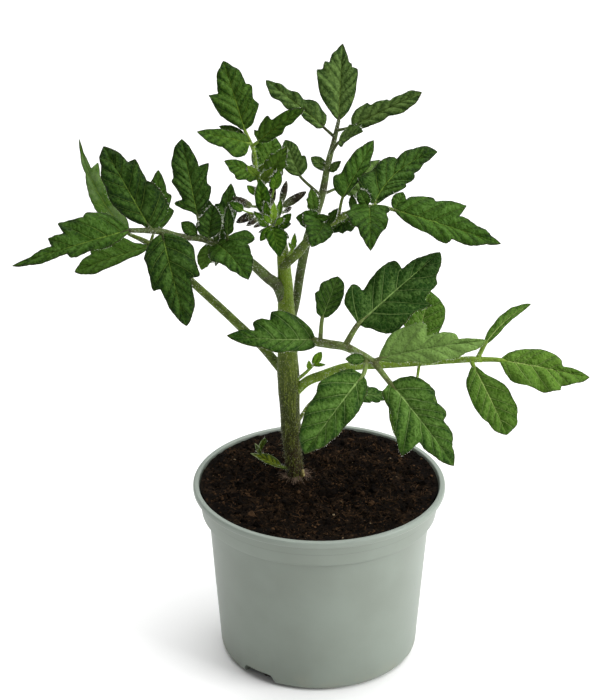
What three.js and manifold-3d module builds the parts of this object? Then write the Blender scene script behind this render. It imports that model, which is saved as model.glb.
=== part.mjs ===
// A young tomato plant in a nursery pot.
// Millimetres, +Z up. The origin is the centre of the pot's underside, and -Y is the front.

import * as THREE from "three";
import { mergeVertices } from "three/addons/utils/BufferGeometryUtils.js";
import Module from "manifold-3d";

const wasm = await Module();
wasm.setup();

// Driving dimensions of the pot
const POT_HEIGHT = 88;
const RIM_RADIUS = 60;
const FOOT_RADIUS = 47;
const WALL = 1.4;
const POT_SIDES = 40;
const FLOOR_RISE = 4;
const DRAIN_HOLES = 6;
const DRAIN_RADIUS = 3.5;
const DRAIN_CIRCLE = 27;
const DRAIN_SIDES = 10;
const NOTCH_WIDTH = 21.5;
const NOTCH_TOP_WIDTH = 16;
const NOTCH_HEIGHT = 5.5;
const NOTCH_START = 36;
const BELOW_GROUND = -2;
const NOTCH_ANGLES = [-128, 52];

// Driving dimensions of the soil
const SOIL_LEVEL = 86.2;
const SOIL_EDGE_LIFT = 0.9;
const SOIL_RINGS = 5;
const SOIL_BUMP = 0.8;

// Driving dimensions of the plant
const CLEARANCE = 0.3;
const SHORTEST_EDGE = 0.02;
const BLADE_THICKNESS = 0.8;
const VEIN_SLANT = 0.6;
const VEIN_START = 0.3;
const MIDRIB_ROWS = [0, 0.17, 0.34, 0.5, 0.67, 0.84, 1];
const RIPPLES = 24;
const RIGHT_RIPPLE_SHIFT = 2;
const CARRIER_END = 0.1;
const SEATED_WITHIN = 2;
const STEM_SIDES = 10;
const STALK_SIDES = 6;
const TWIG_SIDES = 5;

const COLOURS = {
  pot: 0x95a394,
  soil: 0x2e1f18,
  stem: 0x6b7a3a,
  leaf: 0x2f6128,
  youngLeaf: 0x44792f,
  bud: 0x3b2a30,
  withered: 0x8fa04e,
};

// Faces that look at the sky, straight ahead, or between the two
const FORWARD = [0, -0.9, 0.43];
const SLANTED = [0, -0.8, 0.6];
const SKYWARD = [0, -0.65, 0.75];

// Edges shared by small leaflets, as [how far along the leaflet, how far out], both in lengths of the leaflet
const OVAL = [[0.12, 0.12], [0.35, 0.22], [0.62, 0.22], [0.85, 0.12]];
const SPEAR = [[0.15, 0.09], [0.4, 0.15], [0.75, 0.1]];
const CUT = [[0.08, 0.14], [0.22, 0.24], [0.38, 0.3], [0.4, 0.2], [0.62, 0.24], [0.63, 0.15], [0.85, 0.09]];
const TOOTHED = [[0.1, 0.14], [0.34, 0.28], [0.36, 0.18], [0.6, 0.24], [0.66, 0.16], [0.86, 0.09]];

const vector = (point) => new THREE.Vector3(...point);

// Solids

// The closed solid of a geometry
function solidOf(geometry) {
  const bare = new THREE.BufferGeometry();
  bare.setAttribute("position", geometry.getAttribute("position"));
  bare.setIndex(geometry.getIndex());
  const merged = mergeVertices(bare, 1e-4);
  const mesh = new wasm.Mesh({
    numProp: 3,
    vertProperties: new Float32Array(merged.getAttribute("position").array),
    triVerts: new Uint32Array(merged.getIndex().array),
  });
  return new wasm.Manifold(mesh);
}

function joined(solids) {
  return solids.reduce((whole, next) => whole.add(next));
}

// The largest connected piece, without loose scraps and without edges too short to matter
function largestPiece(solid) {
  const pieces = solid.simplify(SHORTEST_EDGE).decompose();
  return pieces.reduce((best, next) => (next.volume() > best.volume() ? next : best));
}

function meshOf(name, solid, colour, roughness = 0.8) {
  const { vertProperties, triVerts } = solid.getMesh();
  const geometry = new THREE.BufferGeometry();
  geometry.setAttribute("position", new THREE.BufferAttribute(vertProperties, 3));
  geometry.setIndex(new THREE.BufferAttribute(triVerts, 1));
  geometry.computeVertexNormals();
  const material = new THREE.MeshStandardMaterial({ color: colour, roughness, metalness: 0 });
  const mesh = new THREE.Mesh(geometry, material);
  mesh.name = name;
  return mesh;
}

// Two triangles for each cell of the band between two closed rings of vertices, given as lists of indices
function addBand(index, ring, next) {
  for (let i = 0; i < ring.length; i += 1) {
    const j = (i + 1) % ring.length;
    index.push(ring[i], ring[j], next[j]);
    index.push(ring[i], next[j], next[i]);
  }
}

function geometryOf(points, index) {
  const geometry = new THREE.BufferGeometry();
  geometry.setFromPoints(points);
  geometry.setIndex(index);
  return geometry;
}

// A tapering round stalk along a smooth line through the points, with a radius at each point
function stalk(points, radii, { sides = STALK_SIDES, stepsPerSpan = 1, grown = 0 } = {}) {
  const curve = new THREE.CatmullRomCurve3(points.map(vector), false, "centripetal");
  const steps = (points.length - 1) * stepsPerSpan;
  const vertices = [];
  const index = [];
  const rings = [];
  let across = new THREE.Vector3(0.3, 1, 0.2);
  for (let k = 0; k <= steps; k += 1) {
    const t = k / steps;
    const centre = curve.getPoint(t);
    const along = curve.getTangent(t);
    across = across.addScaledVector(along, -across.dot(along)).normalize().clone();
    const upward = new THREE.Vector3().crossVectors(along, across);
    const place = t * (points.length - 1);
    const span = Math.min(Math.floor(place), points.length - 2);
    const radius = THREE.MathUtils.lerp(radii[span], radii[span + 1], place - span) + grown;
    const ring = [];
    for (let i = 0; i < sides; i += 1) {
      const angle = (2 * Math.PI * i) / sides;
      ring.push(vertices.length);
      vertices.push(
        centre.clone()
          .addScaledVector(across, radius * Math.cos(angle))
          .addScaledVector(upward, radius * Math.sin(angle)),
      );
    }
    rings.push(ring);
  }
  for (let k = 0; k < steps; k += 1) addBand(index, rings[k], rings[k + 1]);
  const foot = vertices.push(curve.getPoint(0)) - 1;
  const head = vertices.push(curve.getPoint(1)) - 1;
  for (let i = 0; i < sides; i += 1) {
    const j = (i + 1) % sides;
    index.push(foot, rings[0][j], rings[0][i]);
    index.push(head, rings[steps][i], rings[steps][j]);
  }
  return solidOf(geometryOf(vertices, index));
}

// Where the row of a side vein that ends at an edge point leaves the midrib
function rowOf([along, out]) {
  const nearBase = along / (1 + (VEIN_SLANT * out) / VEIN_START);
  return nearBase < VEIN_START ? nearBase : along - VEIN_SLANT * out;
}

// A leaflet's form: the point and the facing at a row along it and a share out, negative on the left.
// It arches and bows along its length, folds at its midrib, and its rows slant as its side veins do.
function formOf(leaflet) {
  const { from, to, faces = SLANTED, broad = 1, arch = 0.04, bow = 0, fold = 0.1, wave = 0.1 } = leaflet;
  const chord = vector(to).sub(vector(from));
  const length = chord.length();
  const ahead = chord.clone().normalize();
  const face = vector(faces);
  face.addScaledVector(ahead, -face.dot(ahead)).normalize();
  const side = new THREE.Vector3().crossVectors(ahead, face);
  return (row, out) => {
    const rise = 4 * length * row * (1 - row);
    const slope = 4 * (1 - 2 * row);
    const along = ahead.clone().addScaledVector(face, arch * slope).addScaledVector(side, bow * slope);
    along.normalize();
    const across = side.clone().addScaledVector(along, -side.dot(along)).normalize();
    const normal = new THREE.Vector3().crossVectors(across, along);
    const reach = Math.abs(out) * length * broad;
    const ripple = wave * reach * Math.sin(RIPPLES * row + (out < 0 ? 0 : RIGHT_RIPPLE_SHIFT));
    const slant = VEIN_SLANT * Math.min(1, row / VEIN_START);
    const point = vector(from)
      .addScaledVector(ahead, length * row)
      .addScaledVector(face, arch * rise)
      .addScaledVector(side, bow * rise)
      .addScaledVector(across, Math.sign(out) * reach * Math.cos(fold))
      .addScaledVector(normal, reach * Math.sin(fold) + ripple)
      .addScaledVector(along, slant * Math.abs(out) * length);
    return { point, normal };
  };
}

// A leaflet's blade: a thin sheet from its base to its tip, with each half split alike above and below.
// A half is a strip between the midrib and the corners of its edge.
function blade(leaflet) {
  const { left = OVAL, right = OVAL } = leaflet;
  const form = formOf(leaflet);
  const vertices = [];
  const index = [];
  const place = (row, out) => {
    const { point, normal } = form(row, out);
    vertices.push(point.clone().addScaledVector(normal, BLADE_THICKNESS / 2));
    vertices.push(point.clone().addScaledVector(normal, -BLADE_THICKNESS / 2));
    return { row, above: vertices.length - 2, below: vertices.length - 1 };
  };
  const midrib = MIDRIB_ROWS.map((row) => place(row, 0));
  const base = midrib.shift();
  const tip = midrib.pop();
  for (const [corners, sign] of [[left, -1], [right, 1]]) {
    const facet = (a, b, c) => {
      const [p, q] = sign < 0 ? [b, c] : [c, b];
      index.push(a.above, p.above, q.above, a.below, q.below, p.below);
    };
    const edge = corners.map((corner) => place(rowOf(corner), sign * corner[1]));
    facet(base, midrib[0], edge[0]);
    let i = 0;
    let j = 0;
    while (i < midrib.length - 1 || j < edge.length - 1) {
      const edgeIsNearer = j < edge.length - 1 && edge[j + 1].row < midrib[i + 1]?.row;
      const edgeNext = i === midrib.length - 1 || edgeIsNearer;
      facet(midrib[i], edgeNext ? edge[j + 1] : midrib[i + 1], edge[j]);
      if (edgeNext) j += 1;
      else i += 1;
    }
    facet(midrib[i], tip, edge[j]);
    const rim = [base, ...edge, tip];
    for (let k = 0; k < rim.length - 1; k += 1) {
      const [a, b] = sign < 0 ? [rim[k + 1], rim[k]] : [rim[k], rim[k + 1]];
      index.push(a.above, a.below, b.below, a.above, b.below, b.above);
    }
  }
  return solidOf(geometryOf(vertices, index));
}

// The place on a leaf's main stalk that is nearest to a point
function nearestOn(stalkPoints, point) {
  const line = new THREE.CatmullRomCurve3(stalkPoints.map(vector), false, "centripetal").getPoints(80);
  const target = vector(point);
  const nearer = (best, next) => (next.distanceTo(target) < best.distanceTo(target) ? next : best);
  return line.reduce(nearer).toArray();
}

// A leaflet with the short stalk that carries it
function leafletSolid(leaflet, stalkPoints) {
  const { stalkFrom = nearestOn(stalkPoints, leaflet.from), stalkRadius = 0.8 } = leaflet;
  const inBlade = formOf(leaflet)(CARRIER_END, 0).point.toArray();
  const seated = vector(stalkFrom).distanceTo(vector(leaflet.from)) < SEATED_WITHIN;
  const line = seated ? [stalkFrom, inBlade] : [stalkFrom, leaflet.from, inBlade];
  const radii = [stalkRadius, stalkRadius * 0.9].slice(0, line.length - 1).concat(BLADE_THICKNESS / 2);
  return blade(leaflet).add(stalk(line, radii, { sides: TWIG_SIDES }));
}

// A compound leaf: its stalk with every leaflet on it, cut clear of what it grows from
function leafSolid({ stalkPoints, stalkRadii, leaflets }, clearOf) {
  const carried = leaflets.map((leaflet) => leafletSolid(leaflet, stalkPoints));
  const parts = [stalk(stalkPoints, stalkRadii), ...carried];
  return largestPiece(clearOf.reduce((left, cutter) => left.subtract(cutter), joined(parts)));
}

// Pot

// The outside of the pot from the centre of its underside up to the rim
const POT_OUTSIDE = [
  [0, 0], [14, 0], [16, FLOOR_RISE], [38, FLOOR_RISE], [40, 0], [FOOT_RADIUS - 2.2, 0],
  [FOOT_RADIUS - 0.6, 0.7],
  [FOOT_RADIUS, 2.2], [52.5, 72.6], [52.9, 73.2], [55.7, 73.4], [56.2, 74.1], [58, 84.6],
  [59.3, 85.1], [RIM_RADIUS, 85.9], [RIM_RADIUS, 87.1], [59.2, POT_HEIGHT],
];

// The inside of the pot from the rim down to the centre of its floor
const POT_INSIDE = [
  [57.8, POT_HEIGHT], [57.2, 87.3], [56.7, 84.6], [54.9, 75.3], [54.4, 74.8], [51.5, 74.7], [51, 73.6],
  [FOOT_RADIUS - WALL + 0.3, 8],
  [FOOT_RADIUS - WALL - 0.3, 3], [FOOT_RADIUS - 2.9, WALL], [40.7, WALL], [38.7, FLOOR_RISE + WALL],
  [15.3, FLOOR_RISE + WALL], [13.3, WALL], [0, WALL],
];

function turned(profile, sides) {
  const geometry = new THREE.LatheGeometry(profile.map(([r, z]) => new THREE.Vector2(r, z)), sides);
  geometry.rotateX(Math.PI / 2);
  return solidOf(geometry);
}

// A block with a trapezoid section, which runs outward along the floor at the notch
function notchBlock(angle, grown, inner, outer) {
  const half = NOTCH_WIDTH / 2 + grown;
  const topHalf = NOTCH_TOP_WIDTH / 2 + grown;
  const section = new THREE.Shape([
    new THREE.Vector2(-half, BELOW_GROUND), new THREE.Vector2(half, BELOW_GROUND), new THREE.Vector2(half, 0),
    new THREE.Vector2(topHalf, NOTCH_HEIGHT + grown), new THREE.Vector2(-topHalf, NOTCH_HEIGHT + grown),
    new THREE.Vector2(-half, 0),
  ]);
  const geometry = new THREE.ExtrudeGeometry(section, { depth: outer - inner, bevelEnabled: false });
  geometry.rotateX(Math.PI / 2);
  geometry.translate(0, outer, 0);
  geometry.rotateZ(THREE.MathUtils.degToRad(angle - 90));
  return solidOf(geometry);
}

function drainHole(k) {
  const geometry = new THREE.CylinderGeometry(DRAIN_RADIUS, DRAIN_RADIUS, 4 * WALL, DRAIN_SIDES);
  geometry.rotateX(Math.PI / 2);
  const angle = (2 * Math.PI * (k + 0.5)) / DRAIN_HOLES;
  geometry.translate(DRAIN_CIRCLE * Math.cos(angle), DRAIN_CIRCLE * Math.sin(angle), FLOOR_RISE + WALL / 2);
  return solidOf(geometry);
}

function potSolid() {
  const whole = turned(POT_OUTSIDE.concat([[0, POT_HEIGHT]]), POT_SIDES);
  const wallFloor = turned(POT_OUTSIDE.concat(POT_INSIDE), POT_SIDES);
  const arches = NOTCH_ANGLES.map(
    (angle) => notchBlock(angle, WALL, NOTCH_START - WALL, RIM_RADIUS).intersect(whole),
  );
  const aboveGround = joined([wallFloor, ...arches]);
  const notches = NOTCH_ANGLES.map((angle) => notchBlock(angle, 0, NOTCH_START, RIM_RADIUS));
  const holes = Array.from({ length: DRAIN_HOLES }, (_, k) => drainHole(k));
  return aboveGround.subtract(joined([...notches, ...holes]));
}

// Soil

// Small lumps on top of the soil, the same at every build
function lumps(x, y) {
  const coarse = Math.sin(0.21 * x + 1.3) * Math.cos(0.17 * y - 0.6);
  const middle = Math.sin(0.46 * x - 0.37 * y + 2.1) * Math.cos(0.41 * y + 0.23 * x);
  const fine = Math.sin(0.93 * x + 0.5) * Math.sin(0.88 * y + 1.7);
  return SOIL_BUMP * (0.6 * coarse + 0.5 * middle + 0.35 * fine);
}

// The soil stands clear of the pot inside, on both slopes of the raised channel in the floor
const CHANNEL_MIDDLE = 27;
const CHANNEL_OUTER_SLOPE = 42;
const SOIL_OUTSIDE = POT_INSIDE.slice(2).reverse().map(([r, z]) => {
  const outward = r > CHANNEL_MIDDLE && r < CHANNEL_OUTER_SLOPE;
  return [Math.max(0, r + (outward ? CLEARANCE : -CLEARANCE)), z + CLEARANCE];
});
const SOIL_EDGE_RADIUS = 56.6;

function soilSolid(clearOf) {
  const vertices = [];
  const rings = [];
  const addRing = (radius, heightAt) => {
    const ring = [];
    for (let i = 0; i < POT_SIDES; i += 1) {
      const angle = (2 * Math.PI * i) / POT_SIDES;
      const x = radius * Math.cos(angle);
      const y = radius * Math.sin(angle);
      ring.push(vertices.push(new THREE.Vector3(x, y, heightAt(x, y))) - 1);
    }
    rings.push(ring);
  };
  SOIL_OUTSIDE.slice(1).forEach(([radius, z]) => addRing(radius, () => z));
  for (let k = 0; k < SOIL_RINGS; k += 1) {
    const share = k / SOIL_RINGS;
    const level = SOIL_LEVEL + SOIL_EDGE_LIFT * (1 - share);
    const roughness = Math.min(1, 0.3 + share);
    addRing(SOIL_EDGE_RADIUS * (1 - share), (x, y) => level + roughness * lumps(x, y));
  }
  const index = [];
  for (let k = 0; k < rings.length - 1; k += 1) addBand(index, rings[k], rings[k + 1]);
  const bottom = vertices.push(new THREE.Vector3(0, 0, SOIL_OUTSIDE[0][1])) - 1;
  const top = vertices.push(new THREE.Vector3(0, 0, SOIL_LEVEL + lumps(0, 0))) - 1;
  for (let i = 0; i < POT_SIDES; i += 1) {
    const j = (i + 1) % POT_SIDES;
    index.push(bottom, rings[0][j], rings[0][i]);
    index.push(top, rings.at(-1)[i], rings.at(-1)[j]);
  }
  const whole = solidOf(geometryOf(vertices, index));
  return largestPiece(clearOf.reduce((left, cutter) => left.subtract(cutter), whole));
}

// Main stem, from its buried foot to the growing tip
const STEM_POINTS = [
  [-9, 7, 56], [-10.5, 7.5, 76], [-11, 7.9, 84], [-12.4, 7.9, 96.5], [-13.6, 7.9, 114], [-14.7, 7.9, 140],
  [-15.4, 7.9, 166], [-16, 7.9, 184], [-16.6, 7.9, 197], [-18, 7.5, 210], [-20, 7, 219], [-22, 7, 225],
];
const STEM_RADII = [2, 3.2, 4, 4.1, 4.6, 5, 4.1, 3.5, 2.9, 2.4, 2, 1.3];

// Leaf that rises at the back on the right
const BACK_RIGHT = {
  stalkPoints: [
    [-14, 9, 164], [-10.4, 16, 174], [-8.2, 20, 187], [-5, 28, 201], [1, 38, 217], [4, 46, 231], [7, 52, 241],
    [9, 56, 249],
  ],
  stalkRadii: [2, 2.1, 2.3, 2.3, 1.9, 1.5, 1.2, 0.9],
  leaflets: [
    {
      from: [9, 56, 249], to: [11, 76, 280], arch: -0.04, fold: 0.25,
      left: [
        [0.13, 0.13], [0.32, 0.26], [0.5, 0.3], [0.62, 0.31], [0.6, 0.22], [0.76, 0.22], [0.74, 0.16],
        [0.82, 0.15], [0.9, 0.08],
      ],
      right: [
        [0.11, 0.11], [0.27, 0.18], [0.49, 0.21], [0.68, 0.21], [0.7, 0.14], [0.76, 0.14], [0.76, 0.09],
      ],
    },
    {
      from: [2, 55, 246], to: [-25, 64, 266], stalkFrom: [7, 53, 242], faces: [0.2, -0.8, 0.5], broad: 1.1,
      left: [[0.06, 0.08], [0.2, 0.07], [0.36, 0.07], [0.67, 0.12], [0.89, 0.09]],
      right: [
        [0.02, 0.07], [0.07, 0.14], [0.18, 0.17], [0.32, 0.16], [0.44, 0.11], [0.73, 0.07], [0.92, 0.04],
      ],
      wave: 0.3,
    },
    {
      from: [15, 50, 248], to: [47, 44, 267], stalkFrom: [7.5, 53, 245], faces: [-0.1, -0.7, 0.7], broad: 1.1,
      arch: 0.01,
      left: [[0.03, 0.08], [0.12, 0.15], [0.3, 0.19], [0.32, 0.12], [0.56, 0.11], [0.57, 0.07], [0.85, 0.08]],
      right: [[0.09, 0.06], [0.23, 0.1], [0.51, 0.09], [0.62, 0.12], [0.77, 0.12], [0.93, 0.06]],
    },
    {
      from: [9, 46, 242], to: [20, 38, 250], stalkFrom: [5, 48, 235], faces: [-0.2, -0.6, 0.75],
      left: [[0.15, 0.23], [0.42, 0.36], [0.66, 0.31], [0.89, 0.18]],
      right: [[0.05, 0.2], [0.11, 0.25], [0.38, 0.12], [0.6, 0.06]],
    },
    { from: [4, 46, 228], to: [-4, 50, 233], broad: 1.2 },
    { from: [5, 44, 228], to: [10, 40, 235], left: SPEAR, right: SPEAR, broad: 1.4 },
    {
      from: [-9, 38, 228], to: [-16, 46, 243], stalkFrom: [0, 38, 219], faces: [-0.1, -0.9, 0.45], broad: 1.2,
      left: [[0.14, 0.16], [0.33, 0.24], [0.68, 0.17], [0.9, 0.09]],
      right: [[0.11, 0.2], [0.36, 0.27], [0.47, 0.3], [0.42, 0.18], [0.67, 0.2], [0.87, 0.13]],
    },
    { from: [9, 44, 220], to: [44, 52, 226], stalkFrom: [1, 40, 218], faces: SKYWARD, left: CUT, right: CUT },
  ],
};

// Leaf that reaches right from the top
const UPPER_RIGHT = {
  stalkPoints: [
    [-17, 6, 196], [-10, 4, 204], [-6, 2, 210], [1, -1, 218], [8, -3, 223], [14, -4, 227], [20, -6, 230],
    [28, -8, 231], [33, -9, 230],
  ],
  stalkRadii: [2, 2.2, 2, 1.7, 1.5, 1.4, 1.2, 1, 0.8],
  leaflets: [
    {
      from: [1, -3, 219], to: [-4, -21, 217], faces: [0.2, -0.6, 0.75], broad: 1.2, arch: 0.16, left: CUT,
      right: CUT,
    },
    { from: [-1, 0, 219], to: [-3, 0, 235], faces: FORWARD, left: SPEAR, right: SPEAR },
    {
      from: [10, -2, 233], to: [24, 10, 256], stalkFrom: [8, -3, 223], faces: [0.1, -0.9, 0.45],
      left: [[0.05, 0.17], [0.21, 0.29], [0.31, 0.2], [0.55, 0.2], [0.88, 0.09]],
      right: [[0.2, 0.06], [0.44, 0.09], [0.65, 0.13], [0.66, 0.1], [0.81, 0.08]],
    },
    {
      from: [24, -6, 231], to: [53, 14, 249], bow: -0.12, arch: 0.01,
      left: [
        [0.06, 0.17], [0.18, 0.3], [0.33, 0.21], [0.48, 0.2], [0.58, 0.17], [0.57, 0.12], [0.78, 0.13],
        [0.95, 0.07],
      ],
      right: [[0.16, 0.09], [0.38, 0.22], [0.4, 0.17], [0.56, 0.2], [0.6, 0.14], [0.8, 0.09]],
    },
    {
      from: [22, -8, 231], to: [22, -30, 219], faces: [0, -0.75, 0.65], arch: 0.14,
      left: [[0.02, 0.22], [0.22, 0.38], [0.24, 0.28], [0.44, 0.33], [0.75, 0.15]],
      right: [[0.01, 0.2], [0.04, 0.42], [0.1, 0.3], [0.26, 0.44], [0.6, 0.23]],
    },
    { from: [21, -7, 231], to: [17, -9, 240], faces: FORWARD, broad: 1.3 },
    { from: [15, -5, 228], to: [14, -6, 236], faces: FORWARD },
    {
      from: [33, -9, 230], to: [80, -22, 219], faces: SKYWARD, broad: 1.1, arch: 0.02,
      left: [
        [0.04, 0.06], [0.08, 0.13], [0.16, 0.17], [0.28, 0.21], [0.32, 0.17], [0.6, 0.23], [0.56, 0.11],
        [0.76, 0.08], [0.89, 0.04],
      ],
      right: [[0.19, 0.09], [0.38, 0.13], [0.56, 0.16], [0.57, 0.11], [0.71, 0.11], [0.88, 0.05]],
    },
    { from: [33, -9, 230], to: [37, -5, 237], faces: FORWARD, broad: 1.6 },
    { from: [14, -3, 226], to: [3, 9, 213], faces: SKYWARD, left: TOOTHED, right: TOOTHED },
  ],
};

// Leaf that reaches forward on the left
const LEFT_FRONT = {
  stalkPoints: [
    [-16.8, 7.4, 177], [-19.2, 5.8, 186.5], [-24, 3, 192], [-31, -2, 201], [-41, -8, 210], [-52, -14, 218],
    [-63, -18, 221], [-71, -22, 225], [-84, -28, 228],
  ],
  stalkRadii: [2.2, 2.8, 2.5, 2.3, 1.8, 1.5, 1.3, 1.2, 0.8],
  leaflets: [
    {
      from: [-46, -13, 215], to: [-32, -32, 206], faces: [0.15, -0.7, 0.65], arch: 0.12,
      left: [[0.04, 0.3], [0.17, 0.52], [0.43, 0.6], [0.42, 0.36], [0.62, 0.32], [0.84, 0.2]],
      right: [[0.04, 0.2], [0.17, 0.28], [0.45, 0.37], [0.46, 0.24], [0.81, 0.12]],
    },
    {
      from: [-55, -8, 227], to: [-62, 6, 258], stalkFrom: [-53, -14, 219], faces: [0, -0.9, 0.45],
      left: [
        [0.07, 0.07], [0.25, 0.31], [0.21, 0.13], [0.39, 0.19], [0.49, 0.24], [0.52, 0.2], [0.64, 0.2],
        [0.8, 0.16], [0.94, 0.08],
      ],
      right: [
        [0.09, 0.07], [0.16, 0.18], [0.34, 0.26], [0.36, 0.2], [0.48, 0.22], [0.64, 0.29], [0.6, 0.14],
        [0.71, 0.13], [0.84, 0.09],
      ],
    },
    { from: [-55, -16, 221], to: [-62, -16, 227], faces: FORWARD, broad: 1.4 },
    { from: [-46, -11, 215], to: [-40, -2, 240], faces: [0.2, -0.8, 0.5], left: CUT, right: CUT, broad: 0.9 },
    { from: [-50, -12, 218], to: [-52, 3, 232], faces: FORWARD, left: TOOTHED, right: TOOTHED },
    { from: [-47, -13, 217], to: [-44, -18, 227], faces: FORWARD, broad: 0.9 },
    {
      from: [-70, -22, 224], to: [-59, -46, 190], faces: [-0.1, -0.85, 0.5], arch: 0.1,
      left: [
        [0.04, 0.16], [0.13, 0.28], [0.21, 0.33], [0.31, 0.3], [0.44, 0.31], [0.56, 0.29], [0.53, 0.16],
        [0.64, 0.19], [0.78, 0.16], [0.93, 0.08],
      ],
      right: [
        [0.07, 0.15], [0.22, 0.24], [0.3, 0.22], [0.44, 0.23], [0.59, 0.22], [0.57, 0.15], [0.72, 0.12],
        [0.9, 0.07],
      ],
    },
    {
      from: [-75, -23, 226], to: [-96, -6, 259], faces: [0, -0.9, 0.45], arch: 0.05,
      left: [[0.1, 0.05], [0.22, 0.15], [0.4, 0.21], [0.63, 0.19], [0.84, 0.12], [0.95, 0.06]],
      right: [
        [0.02, 0.16], [0.15, 0.29], [0.33, 0.29], [0.45, 0.21], [0.6, 0.22], [0.72, 0.22], [0.72, 0.14],
        [0.88, 0.09],
      ],
    },
    {
      from: [-84, -28, 228], to: [-135, -40, 216], faces: SKYWARD, broad: 1.12, arch: 0.02,
      left: [[0.13, 0.07], [0.3, 0.08], [0.53, 0.08], [0.54, 0.04], [0.72, 0.05], [0.88, 0.04]],
      right: [
        [0.05, 0.08], [0.13, 0.18], [0.31, 0.22], [0.33, 0.19], [0.55, 0.21], [0.51, 0.11], [0.66, 0.12],
        [0.64, 0.05], [0.84, 0.02],
      ],
    },
  ],
};

// Leaf that reaches back on the left, on a long bare stalk
const LEFT_BACK = {
  stalkPoints: [
    [-16, 9, 140], [-27, 14, 152], [-34, 18, 157.2], [-46, 24, 166.8], [-58, 30, 176], [-70, 36, 185],
    [-80, 40, 193], [-90, 43, 197],
  ],
  stalkRadii: [2.3, 2.1, 2.1, 2, 1.9, 1.7, 1.4, 0.9],
  leaflets: [
    {
      from: [-80, 39, 192], to: [-115, 30, 183], faces: [0, -0.6, 0.8], broad: 1.15,
      left: [[0.08, 0.04], [0.26, 0.07], [0.52, 0.1], [0.71, 0.12], [0.88, 0.09]],
      right: [[0.18, 0.1], [0.28, 0.2], [0.38, 0.21], [0.73, 0.18], [0.72, 0.13], [0.9, 0.07]],
    },
    {
      from: [-90, 43, 197], to: [-113, 58, 239], faces: [-0.2, -0.85, 0.5], bow: -0.07,
      left: [[0.1, 0.08], [0.29, 0.1], [0.54, 0.07], [0.68, 0.03], [0.87, 0.02]],
      right: [[0.1, 0.08], [0.4, 0.08], [0.6, 0.09], [0.73, 0.11], [0.72, 0.05], [0.87, 0.03]],
    },
    {
      from: [-78, 41, 199], to: [-76, 54, 225], stalkFrom: [-80, 40, 193], faces: [0.3, -0.85, 0.4],
      left: CUT, right: CUT,
    },
  ],
};

// Leaf in front of the stem, which reaches right
const FRONT_RIGHT = {
  stalkPoints: [
    [-14, 6, 164], [-9, -6, 167], [-4, -14, 168], [4, -22, 170], [11, -27, 171], [18, -33, 170],
    [25, -38, 168],
  ],
  stalkRadii: [1.6, 1.8, 1.9, 1.8, 1.7, 1.6, 1.2],
  leaflets: [
    {
      from: [-2, -15, 169], to: [-42, -24, 175], faces: [0, -0.7, 0.7], bow: -0.05, arch: 0.08,
      left: [[0.03, 0.08], [0.17, 0.13], [0.35, 0.13], [0.45, 0.16], [0.55, 0.13], [0.63, 0.1], [0.88, 0.06]],
      right: [
        [0.04, 0.11], [0.18, 0.28], [0.3, 0.31], [0.5, 0.31], [0.51, 0.23], [0.74, 0.18], [0.69, 0.09],
        [0.88, 0.07],
      ],
    },
    {
      from: [1, -18, 181], to: [8, -10, 198], stalkFrom: [0, -19, 169], faces: [0, -0.9, 0.45],
      left: [[0.06, 0.15], [0.3, 0.26], [0.47, 0.36], [0.53, 0.29], [0.72, 0.3], [0.85, 0.17]],
      right: [[0.13, 0.16], [0.42, 0.27], [0.77, 0.24], [0.95, 0.13]],
    },
    {
      from: [17, -27, 182], to: [54, -8, 209], stalkFrom: [11, -27, 171], stalkRadius: 1.1,
      left: [
        [0.02, 0.1], [0.03, 0.22], [0.13, 0.29], [0.24, 0.31], [0.22, 0.18], [0.42, 0.24], [0.56, 0.24],
        [0.65, 0.19], [0.62, 0.11], [0.86, 0.07],
      ],
      right: [
        [0.07, 0.12], [0.09, 0.18], [0.18, 0.28], [0.44, 0.27], [0.6, 0.31], [0.58, 0.23], [0.78, 0.2],
        [0.8, 0.15], [0.95, 0.07],
      ],
    },
    {
      from: [26, -38, 170], to: [73, -46, 183], stalkFrom: [23, -37, 168], faces: SKYWARD,
      left: [
        [0.08, 0.12], [0.14, 0.2], [0.31, 0.26], [0.5, 0.22], [0.45, 0.11], [0.59, 0.13], [0.73, 0.1],
        [0.75, 0.04], [0.88, 0.03],
      ],
      right: [[0.14, 0.06], [0.31, 0.1], [0.54, 0.15], [0.8, 0.11], [0.91, 0.08]],
    },
    {
      from: [31, -46, 162], to: [59, -66, 131], stalkFrom: [24, -37, 168], stalkRadius: 1.1, arch: 0.1,
      left: [
        [0.03, 0.1], [0.08, 0.19], [0.18, 0.25], [0.35, 0.29], [0.38, 0.21], [0.56, 0.24], [0.6, 0.17],
        [0.71, 0.17], [0.84, 0.1],
      ],
      right: [[0.03, 0.12], [0.24, 0.17], [0.4, 0.27], [0.64, 0.36], [0.62, 0.14], [0.92, 0.06]],
    },
    {
      from: [19, -44, 165], to: [-7, -62, 135], stalkFrom: [21, -35, 169], stalkRadius: 1, arch: 0.1,
      left: [[0.08, 0.11], [0.21, 0.17], [0.35, 0.19], [0.58, 0.17], [0.73, 0.15], [0.88, 0.08]],
      right: [[0.03, 0.13], [0.15, 0.23], [0.37, 0.3], [0.43, 0.26], [0.67, 0.23], [0.85, 0.16], [0.95, 0.1]],
    },
    { from: [20, -36, 169], to: [11, -40, 171], faces: FORWARD, broad: 1.1 },
  ],
};

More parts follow.
